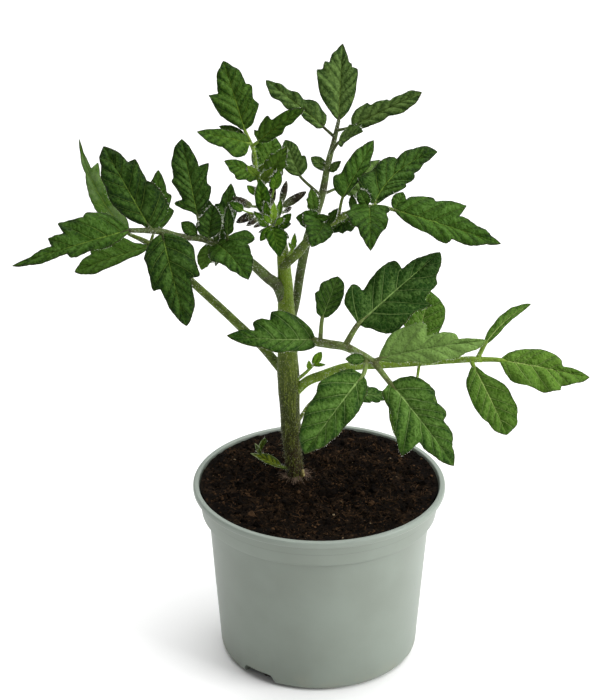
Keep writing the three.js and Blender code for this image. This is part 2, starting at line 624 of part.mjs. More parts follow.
// Leaf that reaches far right, low behind the front one
const LOWER_RIGHT = {
  stalkPoints: [
    [-12, 8, 130], [-6, 7, 137], [2, 4, 142], [13, 0, 148], [28, -4, 151], [45, -8, 154], [60, -12, 157],
    [70, -15, 159], [74, -16, 159],
  ],
  stalkRadii: [2.1, 2.3, 2.3, 2.1, 1.9, 1.7, 1.5, 1.5, 1.1],
  leaflets: [
    {
      from: [82, -18, 160], to: [122, -28, 156], stalkFrom: [72, -15, 159], stalkRadius: 1.1, faces: SKYWARD,
      broad: 1.1, arch: 0.02,
      left: [
        [0.06, 0.07], [0.14, 0.12], [0.24, 0.16], [0.49, 0.18], [0.67, 0.11], [0.68, 0.05], [0.85, 0.05],
      ],
      right: [
        [0.08, 0.11], [0.16, 0.19], [0.26, 0.23], [0.63, 0.26], [0.73, 0.2], [0.71, 0.15], [0.89, 0.09],
      ],
    },
    {
      from: [70, -17, 157], to: [85, -34, 130], stalkFrom: [69, -14, 159], arch: 0.08,
      left: [[0.1, 0.05], [0.18, 0.08], [0.39, 0.23], [0.58, 0.27], [0.88, 0.21], [0.97, 0.1]],
      right: [[0.08, 0.1], [0.2, 0.21], [0.5, 0.24], [0.76, 0.16], [0.92, 0.1]],
    },
    {
      from: [75, -14, 161], to: [97, 0, 180], stalkFrom: [72, -15, 159], faces: [0.5, -0.6, 0.6], bow: -0.12,
      left: [[0.16, 0.08], [0.34, 0.1], [0.57, 0.11], [0.78, 0.08]],
      right: [[0.22, 0.06], [0.4, 0.05], [0.6, 0.04], [0.79, 0.04]],
    },
    {
      from: [45, -11, 148], to: [39, -30, 118], stalkFrom: [46, -8, 154], faces: [0, -0.85, 0.5], left: CUT,
      right: CUT,
      arch: 0.08,
    },
    {
      from: [45, -4, 163], to: [51, 10, 182], stalkFrom: [46, -8, 155], faces: [0, -0.85, 0.5], broad: 1.3,
      left: TOOTHED, right: TOOTHED,
    },
  ],
};

// Small shaded leaf, low at the back on the right
const LOW_BACK = {
  stalkPoints: [[-12, 8, 112], [-3, 18, 121], [5, 24, 120], [16, 30, 119]],
  stalkRadii: [0.9, 0.9, 0.8, 0.7],
  leaflets: [
    { from: [16, 30, 119], to: [36, 38, 113], faces: [0, -0.6, 0.8], left: CUT, right: CUT, broad: 0.8 },
    { from: [10, 27, 120], to: [14, 40, 124], faces: [0, -0.3, 0.9] },
  ],
};

// Young leaf that stands up at the growing tip
const TOP = {
  stalkPoints: [
    [-22, 7, 222], [-26, 7, 228], [-27, 9, 235], [-29, 12, 242], [-30, 15, 249], [-34, 20, 257],
  ],
  stalkRadii: [1.3, 1.4, 1.2, 1, 0.9, 0.8],
  leaflets: [
    {
      from: [-34, 20, 257], to: [-44, 38, 284], faces: [0, -0.9, 0.45],
      left: [[0.1, 0.09], [0.29, 0.25], [0.6, 0.33], [0.57, 0.19], [0.67, 0.18], [0.79, 0.15], [0.93, 0.06]],
      right: [
        [0.03, 0.06], [0.07, 0.16], [0.14, 0.17], [0.29, 0.29], [0.34, 0.22], [0.55, 0.27], [0.59, 0.19],
        [0.72, 0.19], [0.87, 0.11],
      ],
    },
    {
      from: [-28, 14, 254], to: [-7, 8, 272], stalkFrom: [-31, 16, 251],
      left: [[0.02, 0.12], [0.08, 0.25], [0.08, 0.09], [0.21, 0.21], [0.43, 0.26], [0.4, 0.13], [0.75, 0.12]],
      right: [[0.11, 0.08], [0.25, 0.12], [0.43, 0.14], [0.58, 0.08], [0.8, 0.08]],
    },
    {
      from: [-32, 14, 253], to: [-55, 2, 263], faces: [0, -0.75, 0.65],
      left: [[0.12, 0.23], [0.26, 0.32], [0.41, 0.28], [0.54, 0.18], [0.73, 0.18]],
      right: [[0.07, 0.13], [0.34, 0.12], [0.57, 0.11], [0.79, 0.07]],
    },
    { from: [-34, 20, 255], to: [-46, 26, 257], faces: FORWARD, left: SPEAR, right: SPEAR },
    {
      from: [-28, 10, 239], to: [-43, 0, 250], faces: SLANTED,
      left: [[0.08, 0.07], [0.2, 0.22], [0.36, 0.2], [0.54, 0.29], [0.72, 0.21]],
      right: [[0.3, 0.16], [0.34, 0.08], [0.5, 0.13], [0.75, 0.11]],
    },
    { from: [-28, 12, 239], to: [-20, 24, 252], faces: FORWARD, broad: 1.6 },
    {
      from: [-23, 7, 240], to: [-15, 2, 256], stalkFrom: [-27, 8.5, 233], faces: FORWARD, left: CUT,
      right: CUT,
    },
    { from: [-27, 8, 231], to: [-33, 3, 237], faces: FORWARD, left: SPEAR, right: SPEAR },
    { from: [-26, 7, 228], to: [-27, 4, 239], faces: FORWARD },
  ],
};

// Youngest leaves, which face forward at the growing tip
const YOUNG_FRONT = {
  stalkPoints: [[-19, 7, 213], [-21, 1, 217], [-22, -3, 218]],
  stalkRadii: [0.9, 0.9, 0.8],
  leaflets: [
    {
      from: [-21.5, -3.5, 219.5], to: [-18.3, -11, 208], faces: [0, -0.7, 0.7],
      left: [[0.05, 0.12], [0.2, 0.3], [0.38, 0.38], [0.6, 0.33], [0.82, 0.16]],
      right: [[0.04, 0.2], [0.2, 0.3], [0.45, 0.27], [0.75, 0.14]],
    },
    { from: [-21, -1, 218], to: [-28, -4, 217], faces: SLANTED, left: SPEAR, right: SPEAR },
    { from: [-21, -1, 218], to: [-13, -3, 221], faces: SLANTED },
  ],
};

// Flower truss: closed, dark, hairy buds round a short stalk at the growing tip
const TRUSS_STALK = [[-20, 7, 217], [-21, 2, 222], [-21, 0, 226]];
const BUD_LINES = [
  { foot: [-22, 2, 226], waist: [-28, 0, 230], tip: [-39, -4, 234], radius: 1.4 },
  { foot: [-22, 1, 223], waist: [-29, -2, 225], tip: [-37, -6, 222], radius: 1.3 },
  { foot: [-22, 1, 222], waist: [-27, -3, 223], tip: [-32, -9, 222], radius: 1.1 },
  { foot: [-21, 2, 225], waist: [-22, 3, 229], tip: [-21, 4, 236], radius: 1.3 },
  { foot: [-20, 2, 225], waist: [-17, 7, 229], tip: [-15, 11, 236], radius: 1.3 },
  { foot: [-20, 1, 225], waist: [-16, 1, 228], tip: [-7, 2, 234], radius: 1.5 },
];

// Side shoots in the leaf axils, each a thin stalk with a tuft of tiny leaves
const LOW_SHOOT = {
  stalkPoints: [[-13, 7, 136], [-7, 5, 142], [-2, 6, 147]],
  stalkRadii: [0.9, 0.8, 0.6],
  leaflets: [
    { from: [-3, 6, 146], to: [1, 6, 153], faces: FORWARD, broad: 0.9 },
    { from: [-5, 5.5, 144], to: [-5, 3, 150], faces: FORWARD, left: SPEAR, right: SPEAR },
    { from: [-3, 6, 146], to: [3, 4, 147], faces: SLANTED, left: SPEAR, right: SPEAR },
  ],
};
const HIGH_SHOOT = {
  stalkPoints: [[-15, 6, 200], [-12.5, 3.4, 206], [-12, 2.5, 209]],
  stalkRadii: [0.9, 0.9, 0.7],
  leaflets: [
    { from: [-12, 2.6, 208], to: [-11, 2, 215], faces: FORWARD, broad: 0.9 },
    { from: [-12, 2.6, 207], to: [-14, 1, 212], faces: FORWARD, left: SPEAR, right: SPEAR },
  ],
};

// What is left of a seed leaf: a withered strip with a split end
const SEED_LEAF = {
  stalkPoints: [[-12, 7.5, 90], [-16, 5.8, 92], [-20, 5, 94]],
  stalkRadii: [0.9, 0.9, 0.8],
  leaflets: [
    {
      from: [-18, 5.5, 92.5], to: [-33, 3, 101], faces: [0, -0.5, 0.8], left: SPEAR, right: SPEAR,
      broad: 0.9,
    },
    { from: [-26, 5, 96.5], to: [-26.5, 8, 108], faces: FORWARD, left: SPEAR, right: SPEAR, broad: 0.9 },
  ],
};

// A closed bud on its own thin stalk
function budSolid({ foot, waist, tip, radius }) {
  const neck = stalk([nearestOn(TRUSS_STALK, foot), foot, waist], [0.6, 0.5, 0.6], { sides: TWIG_SIDES });
  const middle = vector(waist).lerp(vector(tip), 0.4).toArray();
  const closed = stalk([waist, middle, tip], [0.6, radius, 0.3], { stepsPerSpan: 2 });
  return neck.add(closed);
}

function trussSolid(clearOf) {
  const parts = [stalk(TRUSS_STALK, [0.9, 1.1, 1.2]), ...BUD_LINES.map(budSolid)];
  return largestPiece(clearOf.reduce((left, cutter) => left.subtract(cutter), joined(parts)));
}

// Assembly
const stem = stalk(STEM_POINTS, STEM_RADII, { sides: STEM_SIDES });
const stemClearance = stalk(STEM_POINTS, STEM_RADII, { sides: STEM_SIDES, grown: CLEARANCE });
const stalkClearance = ({ stalkPoints, stalkRadii }) => stalk(stalkPoints, stalkRadii, { grown: CLEARANCE });
const archClearance = NOTCH_ANGLES.map(
  (angle) => notchBlock(angle, WALL + CLEARANCE, NOTCH_START - WALL - CLEARANCE, RIM_RADIUS),
);

const plant = new THREE.Group();
plant.add(meshOf("pot", potSolid(), COLOURS.pot, 0.55));
plant.add(meshOf("soil", soilSolid([stemClearance, ...archClearance]), COLOURS.soil, 0.95));
plant.add(meshOf("main_stem", stem, COLOURS.stem));

const LEAVES = {
  leaf_back_right: BACK_RIGHT,
  leaf_upper_right: UPPER_RIGHT,
  leaf_left_front: LEFT_FRONT,
  leaf_left_back: LEFT_BACK,
  leaf_front_right: FRONT_RIGHT,
  leaf_lower_right: LOWER_RIGHT,
  leaf_low_back: LOW_BACK,
  leaf_top: TOP,
};
for (const [name, leaf] of Object.entries(LEAVES)) {
  plant.add(meshOf(name, leafSolid(leaf, [stemClearance]), COLOURS.leaf));
}

const topStalk = stalkClearance(TOP);
const youngStalk = stalkClearance(YOUNG_FRONT);
plant.add(meshOf("leaf_young_front", leafSolid(YOUNG_FRONT, [stemClearance, topStalk]), COLOURS.youngLeaf));
plant.add(meshOf("flower_truss", trussSolid([stemClearance, topStalk, youngStalk]), COLOURS.bud));

const lowShoot = leafSolid(LOW_SHOOT, [stemClearance, stalkClearance(LOWER_RIGHT)]);
const highShoot = leafSolid(HIGH_SHOOT, [stemClearance, stalkClearance(UPPER_RIGHT)]);
plant.add(meshOf("side_shoot_low", lowShoot, COLOURS.youngLeaf));
plant.add(meshOf("side_shoot_high", highShoot, COLOURS.youngLeaf));
plant.add(meshOf("seed_leaf", leafSolid(SEED_LEAF, [stemClearance]), COLOURS.withered));

export default plant;
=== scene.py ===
# A young tomato plant in a nursery pot, dressed round its CAD frame.
# Metres, +Z up. The origin is the centre of the pot's underside, and -Y is the front.
# Sizes and points below are in millimetres, and MM turns them into metres.

import math

import bpy
import numpy as np
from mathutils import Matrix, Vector, noise


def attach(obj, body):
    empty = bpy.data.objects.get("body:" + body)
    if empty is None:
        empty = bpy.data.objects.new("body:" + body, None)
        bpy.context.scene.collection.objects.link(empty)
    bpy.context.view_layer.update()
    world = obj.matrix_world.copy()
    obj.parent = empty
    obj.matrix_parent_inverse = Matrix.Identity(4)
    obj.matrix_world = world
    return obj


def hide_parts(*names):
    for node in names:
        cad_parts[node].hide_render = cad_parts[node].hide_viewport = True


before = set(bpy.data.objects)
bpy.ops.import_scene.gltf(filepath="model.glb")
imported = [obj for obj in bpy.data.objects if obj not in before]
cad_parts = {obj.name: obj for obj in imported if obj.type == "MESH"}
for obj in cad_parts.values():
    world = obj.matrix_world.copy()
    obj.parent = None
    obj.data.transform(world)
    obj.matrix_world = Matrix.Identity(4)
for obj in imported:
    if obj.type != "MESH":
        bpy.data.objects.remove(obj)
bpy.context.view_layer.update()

MM = 0.001


# Camera
# A long lens 25 degrees above the horizon, in front of the pot, as the photograph was taken.

CAMERA_DISTANCE = 1100
CAMERA_ELEVATION = math.radians(25.2)
LOOK_AT = Vector((-9.1, 0, 156.6))
LENS = 122.04

camera_side = Vector((0, -math.cos(CAMERA_ELEVATION), math.sin(CAMERA_ELEVATION)))
bpy.ops.object.camera_add(
    location=(LOOK_AT + camera_side * CAMERA_DISTANCE) * MM,
    rotation=(math.pi / 2 - CAMERA_ELEVATION, 0, 0),
)
camera = bpy.context.object
camera.name = "camera"
camera.data.lens = LENS
bpy.context.scene.camera = camera


# Studio
# A pale floor under a broad soft ceiling of light, a smaller soft light on the right, and a dim surround.

FLOOR_SIZE = 8000
FLOOR_DROP = 0.02
FLOOR_COLOUR = (0.93, 0.93, 0.93, 1)
SURROUND = 0.3

scene = bpy.context.scene
scene.view_settings.view_transform = "Standard"

bpy.ops.object.select_all(action="DESELECT")
bpy.ops.mesh.primitive_plane_add(size=FLOOR_SIZE * MM, location=(0, 0, -FLOOR_DROP * MM))
floor = bpy.context.object
floor.name = "floor"
floor_finish = bpy.data.materials.new("floor")
floor_finish.use_nodes = True
floor_finish.node_tree.nodes["Principled BSDF"].inputs["Base Color"].default_value = FLOOR_COLOUR
floor_finish.node_tree.nodes["Principled BSDF"].inputs["Roughness"].default_value = 1
floor.data.materials.append(floor_finish)

studio = bpy.data.worlds.new("studio")
studio.use_nodes = True
studio.node_tree.nodes["Background"].inputs["Strength"].default_value = SURROUND
studio.node_tree.nodes["Background"].inputs["Color"].default_value = (1, 1, 1, 1)
scene.world = studio


def soft_light(name, place, size, watts):
    """A square area light that faces the middle of the plant."""
    bpy.ops.object.light_add(type="AREA", location=Vector(place) * MM)
    light = bpy.context.object
    light.name = name
    light.data.size = size * MM
    light.data.energy = watts
    light.rotation_euler = ((LOOK_AT - Vector(place)).to_track_quat("-Z", "Y")).to_euler()


soft_light("key", (1150, -510, 680), 800, 18)
soft_light("ceiling", (300, 900, 3500), 5000, 225)


# Pot
# One moulded pot of satin grey-green plastic. Its wall tapers up to a stepped collar and a rolled rim,
# its floor has a raised ring with drain holes, and two notches let water out under its foot.

POT_SIDES = 144
WALL = 1.4
DRAIN_HOLES = 6
DRAIN_RADIUS = 3.5
DRAIN_CIRCLE = 27
DRAIN_HEIGHT = 4.7
NOTCH_WIDTH = 21.5
NOTCH_TOP_WIDTH = 16
NOTCH_HEIGHT = 5.5
NOTCH_START = 36
NOTCH_END = 60
NOTCH_ROUNDING = 1.6
NOTCH_ANGLES = [-128, 52]

# Each corner of the section has a radius from the axis, a height, and how much it is rounded
POT_CORNERS = [
    (14, 0, 0), (16, 4, 1), (38, 4, 1), (40, 0, 0.8), (47.2, 0, 4.2), (52.8, 73.3, 0.6), (55.9, 73.4, 0.9),
    (57, 80.1, 0.2), (57.35, 80.3, 0.2), (58, 84.7, 0.3), (60, 84.9, 0.9), (60, 88, 1.1), (57.4, 88, 0.6),
    (56.7, 84.6, 0.8), (54.8, 74.9, 0.8), (51.3, 74.8, 1), (45.8, 1.4, 3.2), (40.7, 1.4, 0.8), (38.7, 5.4, 1),
    (15.3, 5.4, 1), (13.3, 1.4, 0),
]

# The notches' arches end half way through the wall
MID_WALL = [(20, 0, 0), (46.7, 0, 3.9), (47.7, 13, 0)]


def rounded(corners, steps=5):
    """The outline through the corners, with an arc of each corner's own radius in its place."""
    outline = []
    for k, (across, up, radius) in enumerate(corners):
        here = Vector((across, up))
        if not radius:
            outline.append(here)
            continue
        before = (Vector(corners[k - 1][:2]) - here).normalized()
        after = (Vector(corners[k + 1][:2]) - here).normalized()
        half = before.angle(after) / 2
        centre = here + (before + after).normalized() * radius / math.sin(half)
        start = here + before * radius / math.tan(half) - centre
        end = here + after * radius / math.tan(half) - centre
        outline += [centre + start.slerp(end, i / steps).normalized() * radius for i in range(steps + 1)]
    return outline


def turned_shell(name, outline, sides):
    """A filled ring drawn up from ring to ring along an outline, which ends in its own filled middle."""
    bpy.ops.object.select_all(action="DESELECT")
    start = outline[0]
    bpy.ops.mesh.primitive_circle_add(vertices=sides, radius=start.x * MM, fill_type="NGON")
    shell = bpy.context.object
    shell.name = name
    bpy.ops.object.mode_set(mode="EDIT")
    for last, ring in zip(outline, outline[1:]):
        bpy.ops.mesh.extrude_region_move(TRANSFORM_OT_translate={"value": (0, 0, (ring.y - last.y) * MM)})
        grown = ring.x / last.x
        bpy.ops.transform.resize(value=(grown, grown, 1), center_override=(0, 0, 0))
    bpy.ops.mesh.select_all(action="SELECT")
    bpy.ops.mesh.fill_holes(sides=0)
    bpy.ops.mesh.normals_make_consistent(inside=False)
    bpy.ops.object.mode_set(mode="OBJECT")
    return shell


def place_applied(piece):
    """The piece with its place, turn and scale moved into its mesh."""
    bpy.ops.object.select_all(action="DESELECT")
    piece.select_set(True)
    bpy.context.view_layer.objects.active = piece
    bpy.ops.object.transform_apply(location=True, rotation=True, scale=True)
    return piece


def joined(name, pieces):
    """The pieces as one object."""
    bpy.ops.object.select_all(action="DESELECT")
    for piece in pieces:
        piece.select_set(True)
    bpy.context.view_layer.objects.active = pieces[0]
    bpy.ops.object.join()
    pieces[0].name = name
    return pieces[0]


def carve(piece, tool, operation):
    """Joins the piece with a tool, cuts it by the tool, or keeps what both hold. The tool is used up."""
    modifier = piece.modifiers.new("carve", "BOOLEAN")
    modifier.operation = operation
    modifier.object = tool
    modifier.solver = "EXACT"
    bpy.context.view_layer.objects.active = piece
    bpy.ops.object.modifier_apply(modifier=modifier.name)
    bpy.data.objects.remove(tool)


def notch_block(angle, grown):
    """A block with slanted sides and rounded edges, which runs outward along the floor at an angle."""
    start = NOTCH_START - grown
    below = 4
    high = NOTCH_HEIGHT + grown
    bpy.ops.mesh.primitive_cube_add(size=MM, location=(0, 0, 0))
    block = bpy.context.object
    block.scale = (NOTCH_END - start, NOTCH_WIDTH + 2 * grown, high + below)
    block.location = Vector(((NOTCH_END + start) / 2, 0, (high - below) / 2)) * MM
    place_applied(block)
    narrowed = (NOTCH_TOP_WIDTH + 2 * grown) / (NOTCH_WIDTH + 2 * grown)
    for vertex in block.data.vertices:
        if vertex.co.z > 0:
            vertex.co.y *= narrowed
    rounding = block.modifiers.new("rounding", "BEVEL")
    rounding.width = (NOTCH_ROUNDING + grown) * MM
    rounding.segments = 4
    bpy.ops.object.modifier_apply(modifier=rounding.name)
    block.rotation_euler.z = math.radians(angle)
    return place_applied(block)


pot = turned_shell("pot_body", rounded(POT_CORNERS), POT_SIDES)

arches = joined("arches", [notch_block(angle, WALL) for angle in NOTCH_ANGLES])
carve(arches, turned_shell("within", rounded(MID_WALL), POT_SIDES), "INTERSECT")
carve(pot, arches, "UNION")

cutters = [notch_block(angle, 0) for angle in NOTCH_ANGLES]
for k in range(DRAIN_HOLES):
    angle = 2 * math.pi * (k + 0.5) / DRAIN_HOLES
    bpy.ops.mesh.primitive_cylinder_add(vertices=32, radius=DRAIN_RADIUS * MM, depth=4 * WALL * MM)
    hole = bpy.context.object
    hole.location = Vector((DRAIN_CIRCLE * math.cos(angle), DRAIN_CIRCLE * math.sin(angle), DRAIN_HEIGHT)) * MM
    cutters.append(place_applied(hole))
carve(pot, joined("cutters", cutters), "DIFFERENCE")


class Wire:
    """An output of a node in a material's tree. Arithmetic on it adds Math nodes."""

    def __init__(self, tree, socket=None):
        self.tree = tree
        self.socket = socket

    def node(self, kind, settings, inputs, output=0):
        """An output of a new node, whose settings are set first, and then its sockets' values or links."""
        made = self.tree.nodes.new("ShaderNode" + kind)
        for name, value in settings.items():
            if name == "stops":
                for place, colour in value:
                    made.color_ramp.elements.new(place).color = colour
                made.color_ramp.elements.remove(made.color_ramp.elements[0])
                made.color_ramp.elements.remove(made.color_ramp.elements[-1])
            else:
                setattr(made, name, value)
        for name, value in inputs.items():
            if isinstance(value, Wire):
                self.tree.links.new(value.socket, made.inputs[name])
            else:
                made.inputs[name].default_value = value
        return Wire(self.tree, made.outputs[output])

    def maths(self, operation, *values):
        return self.node("Math", {"operation": operation}, dict(enumerate(values)))

    def __add__(self, other):
        return self.maths("ADD", self, other)

    def __radd__(self, other):
        return self.maths("ADD", other, self)

    def __sub__(self, other):
        return self.maths("SUBTRACT", self, other)

    def __rsub__(self, other):
        return self.maths("SUBTRACT", other, self)

    def __mul__(self, other):
        return self.maths("MULTIPLY", self, other)

    def __rmul__(self, other):
        return self.maths("MULTIPLY", other, self)

    def larger(self, other):
        return self.maths("MAXIMUM", self, other)

    def rise(self, low, high):
        """0 below the low value, 1 above the high one, and a smooth step between them."""
        settings = {"interpolation_type": "SMOOTHSTEP"}
        return self.node("MapRange", settings, {"Value": self, "From Min": low, "From Max": high})

    def colours(self, first, second):
        """A mix from the first colour to the second as this value goes from 0 to 1."""
        return self.node("Mix", {"data_type": "RGBA"}, {0: self, 6: first, 7: second}, output=2)

    def stretched(self, scale):
        """This place with its axes scaled."""
        return self.node("Mapping", {}, {"Vector": self, "Scale": scale})

    def grain(self, scale, detail=3):
        """Noise at this place, with about so many lumps in a metre."""
        return self.node("TexNoise", {}, {"Vector": self, "Scale": scale, "Detail": detail})


def paint(red, green, blue):
    """A colour given as a screen shows it, 0 to 255, in the linear values that a shader takes."""
    return tuple(((c / 255 + 0.055) / 1.055) ** 2.4 if c > 10 else c / 3295 for c in (red, green, blue)) + (1,)


def new_finish(name):
    """A new material and a wire to build its pattern from."""
    finish = bpy.data.materials.new(name)
    finish.use_nodes = True
    return finish, Wire(finish.node_tree)


def feed(finish, **sockets):
    """Sets or links sockets of the material's shader, named in lower case with underscores."""
    shader = finish.node_tree.nodes["Principled BSDF"]
    for name, value in sockets.items():
        socket = next(s for s in shader.inputs if s.name.lower().replace(" ", "_") == name)
        if isinstance(value, Wire):
            finish.node_tree.links.new(value.socket, socket)
        else:
            socket.default_value = value


def smooth(piece, degrees):
    """Smooth shading, apart from edges sharper than the angle."""
    bpy.ops.object.select_all(action="DESELECT")
    piece.select_set(True)
    bpy.context.view_layer.objects.active = piece
    bpy.ops.object.shade_smooth_by_angle(angle=math.radians(degrees))


POT_DARK = paint(120, 128, 118)
POT_PALE = paint(126, 135, 125)
# A slightly paler tone for the rim's band, laid on more strongly at the top of the lip as a painted highlight
RIM_PALE_AND_LIP_HIGHLIGHT = paint(150, 160, 153)
DUST = paint(150, 146, 128)
# Painted shade: thin dark lines under the rim's bead and the collar's steps, at these heights and strengths
PAINTED_SHADE = paint(84, 88, 82)
PAINTED_SHADE_LINES = [(0.0846, 0.8), (0.0801, 0.3), (0.0734, 0.6)]

pot_finish, wire = new_finish("pot_plastic")
place = wire.node("TexCoord", {}, {}, output="Object")
height = wire.node("SeparateXYZ", {}, {"Vector": place}, output="Z")
mottle = place.grain(35, 4)
fine = place.grain(1400, 2)
rim = height.rise(0.0838, 0.0856)
# Painted highlight along the top of the lip
lip_highlight = height.rise(0.0868, 0.0879)
foot = (1 - height.rise(0, 0.012)) * place.grain(90, 4).rise(0.42, 0.7)
scuffs = place.stretched((1, 1, 0.25)).grain(700, 2).rise(0.66, 0.8) * place.grain(40, 2).rise(0.5, 0.7)
plastic = mottle.rise(0.3, 0.7).colours(POT_DARK, POT_PALE)
plastic = (rim * 0.12 + lip_highlight * 0.24).colours(plastic, RIM_PALE_AND_LIP_HIGHLIGHT)
# Painted shade lines under the bead and the collar's steps
for level, strength in PAINTED_SHADE_LINES:
    shade_line = 1 - wire.maths("ABSOLUTE", height - level).rise(0.0001, 0.0005)
    plastic = (shade_line * strength).colours(plastic, PAINTED_SHADE)
plastic = (foot * 0.35).colours(plastic, DUST)
feed(
    pot_finish,
    base_color=plastic,
    roughness=0.36 + mottle * 0.12 + scuffs * 0.12 + foot * 0.2 - rim * 0.04,
    normal=wire.node("Bump", {}, {"Strength": 0.35, "Distance": 0.00006, "Height": fine + scuffs * 0.6}),
    specular_ior_level=0.34,
)

pot.data.materials.append(pot_finish)
smooth(pot, 32)
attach(pot, "root")
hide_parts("pot")


# Compost
# Dark, damp peat compost, filled to just under the rim: a lumpy bed, with loose crumbs, clods, reddish
# fibres and pale specks lying on it.

SOIL_LEVEL = 86.2
SOIL_EDGE_LIFT = 0.9
SOIL_RADIUS = 56.4
SOIL_CELLS = 136
CRUMBS = 5200
CLODS = 420
FIBRES = 2400
SPECK_SHARE = 0.004
STEM_FOOT = (-11, 7.9)
STEM_FOOT_RADIUS = 4.3

# The bed's sides go down inside the pot, as radius and height
BED_SIDES = [(56.2, 84.8), (54.4, 75.9), (50.8, 75.2), (45.5, 9), (44.4, 3), (43.6, 1.8), (41, 1.8), (39, 5.8)]

scatter = np.random.default_rng(11)


def soil_height(x, y):
    """How high the soil lies at a place: two scales of hollows and hills, then lumps and crumbs."""
    outward = math.hypot(x, y) / SOIL_RADIUS
    hills = 0.6 * math.sin(0.21 * x + 1.3) * math.cos(0.17 * y - 0.6)
    hills += 0.5 * math.sin(0.46 * x - 0.37 * y + 2.1) * math.cos(0.41 * y + 0.23 * x)
    lumps = noise.noise((x * 0.2, y * 0.2, 3)) + 0.8 * noise.noise((x * 0.5, y * 0.5, 7))
    lumps += 0.5 * noise.noise((x * 1.1, y * 1.1, 1)) + 0.3 * noise.noise((x * 2.2, y * 2.2, 5))
    calm = min(1, 1.3 - outward)
    return SOIL_LEVEL + SOIL_EDGE_LIFT * outward + calm * (0.8 * hills + 1.4 * lumps)


def shaped_grid(name, places):
    """A grid of faces with its vertices at an array of places, row by row."""
    rows, columns = places.shape[:2]
    bpy.ops.object.select_all(action="DESELECT")
    bpy.ops.mesh.primitive_grid_add(x_subdivisions=columns - 1, y_subdivisions=rows - 1)
    grid = bpy.context.object
    grid.name = name
    grid.data.vertices.foreach_set("co", (np.asarray(places) * MM).ravel())
    return grid


across, back = np.meshgrid(np.linspace(-1, 1, SOIL_CELLS), np.linspace(-1, 1, SOIL_CELLS))
bed_x = SOIL_RADIUS * across * np.sqrt(1 - back**2 / 2)
bed_y = SOIL_RADIUS * back * np.sqrt(1 - across**2 / 2)
bed_z = np.vectorize(soil_height)(bed_x, bed_y)
bed = shaped_grid("compost_bed", np.dstack([bed_x, bed_y, bed_z]))
bpy.ops.object.mode_set(mode="EDIT")
bpy.ops.mesh.select_all(action="SELECT")
bpy.ops.mesh.region_to_loop()
last_radius, last_height = SOIL_RADIUS, SOIL_LEVEL + SOIL_EDGE_LIFT
for radius, level in BED_SIDES:
    drop = (level - last_height) * MM
    grown = radius / last_radius
    bpy.ops.mesh.extrude_region_move(TRANSFORM_OT_translate={"value": (0, 0, drop)})
    bpy.ops.transform.resize(value=(grown, grown, 1), center_override=(0, 0, level * MM))
    last_radius, last_height = radius, level
bpy.ops.mesh.edge_face_add()
bpy.ops.mesh.select_all(action="SELECT")
bpy.ops.mesh.normals_make_consistent(inside=False)
bpy.ops.object.mode_set(mode="OBJECT")


def copies_of(name, shape, places, sizes, tones):
    """One object with a copy of a shape at each place, each stretched and turned in its own way."""
    count = len(places)
    corners = np.array([vertex.co for vertex in shape.data.vertices])
    faces = np.array([face.vertices for face in shape.data.polygons])
    turns = np.linalg.qr(scatter.normal(size=(count, 3, 3)))[0]
    turns *= np.sign(np.linalg.det(turns))[:, None, None]
    stretched = corners * scatter.uniform(0.3, 1, (count, 1, 3))
    stretched = stretched * (1 + scatter.uniform(-0.25, 0.25, (count, len(corners), 1)))
    points = np.einsum("nij,nkj->nki", turns, stretched) * sizes[:, None, None] + places[:, None]
    numbers = faces + len(corners) * np.arange(count)[:, None, None]
    mesh = bpy.data.meshes.new(name)
    mesh.from_pydata((points.reshape(-1, 3) * MM).tolist(), [], numbers.reshape(-1, 3).tolist())
    tone = mesh.attributes.new("tone", "FLOAT", "POINT")
    tone.data.foreach_set("value", np.repeat(tones, len(corners)))
    made = bpy.data.objects.new(name, mesh)
    scene.collection.objects.link(made)
    return made


def clumped(places):
    """Tones that are high in some patches of the soil and low in others, and 1 for a rare pale speck."""
    patches = np.array([noise.noise((x * 0.16, y * 0.16, 9)) for x, y, _ in places])
    tones = np.clip(scatter.random(len(places)) * (0.85 + 0.9 * patches), 0, 0.99)
    return np.where(scatter.random(len(places)) < SPECK_SHARE, 1, tones)


def places_on_soil(count, edge):
    """Places all over the soil, kept clear of the stem's foot."""
    places = []
    while len(places) < count:
        outward = edge * math.sqrt(scatter.random())
        angle = 2 * math.pi * scatter.random()
        x, y = outward * math.cos(angle), outward * math.sin(angle)
        if math.dist((x, y), STEM_FOOT) > STEM_FOOT_RADIUS:
            places.append((x, y, soil_height(x, y)))
    return np.array(places)


bpy.ops.object.select_all(action="DESELECT")
bpy.ops.mesh.primitive_ico_sphere_add(subdivisions=1, radius=1)
crumb = bpy.context.object
crumb_places = places_on_soil(CRUMBS, 55)
crumb_sizes = 0.28 + 0.8 * scatter.random(CRUMBS) ** 2.5
crumbs = copies_of("crumbs", crumb, crumb_places, crumb_sizes, clumped(crumb_places))
bpy.data.objects.remove(crumb)

bpy.ops.mesh.primitive_ico_sphere_add(subdivisions=2, radius=1)
clod = bpy.context.object
clod_places = places_on_soil(CLODS, 53)
clod_sizes = 0.8 + 1.8 * scatter.random(CLODS) ** 3
clods = copies_of("clods", clod, clod_places, clod_sizes, 0.8 * clumped(clod_places))
bpy.data.objects.remove(clod)


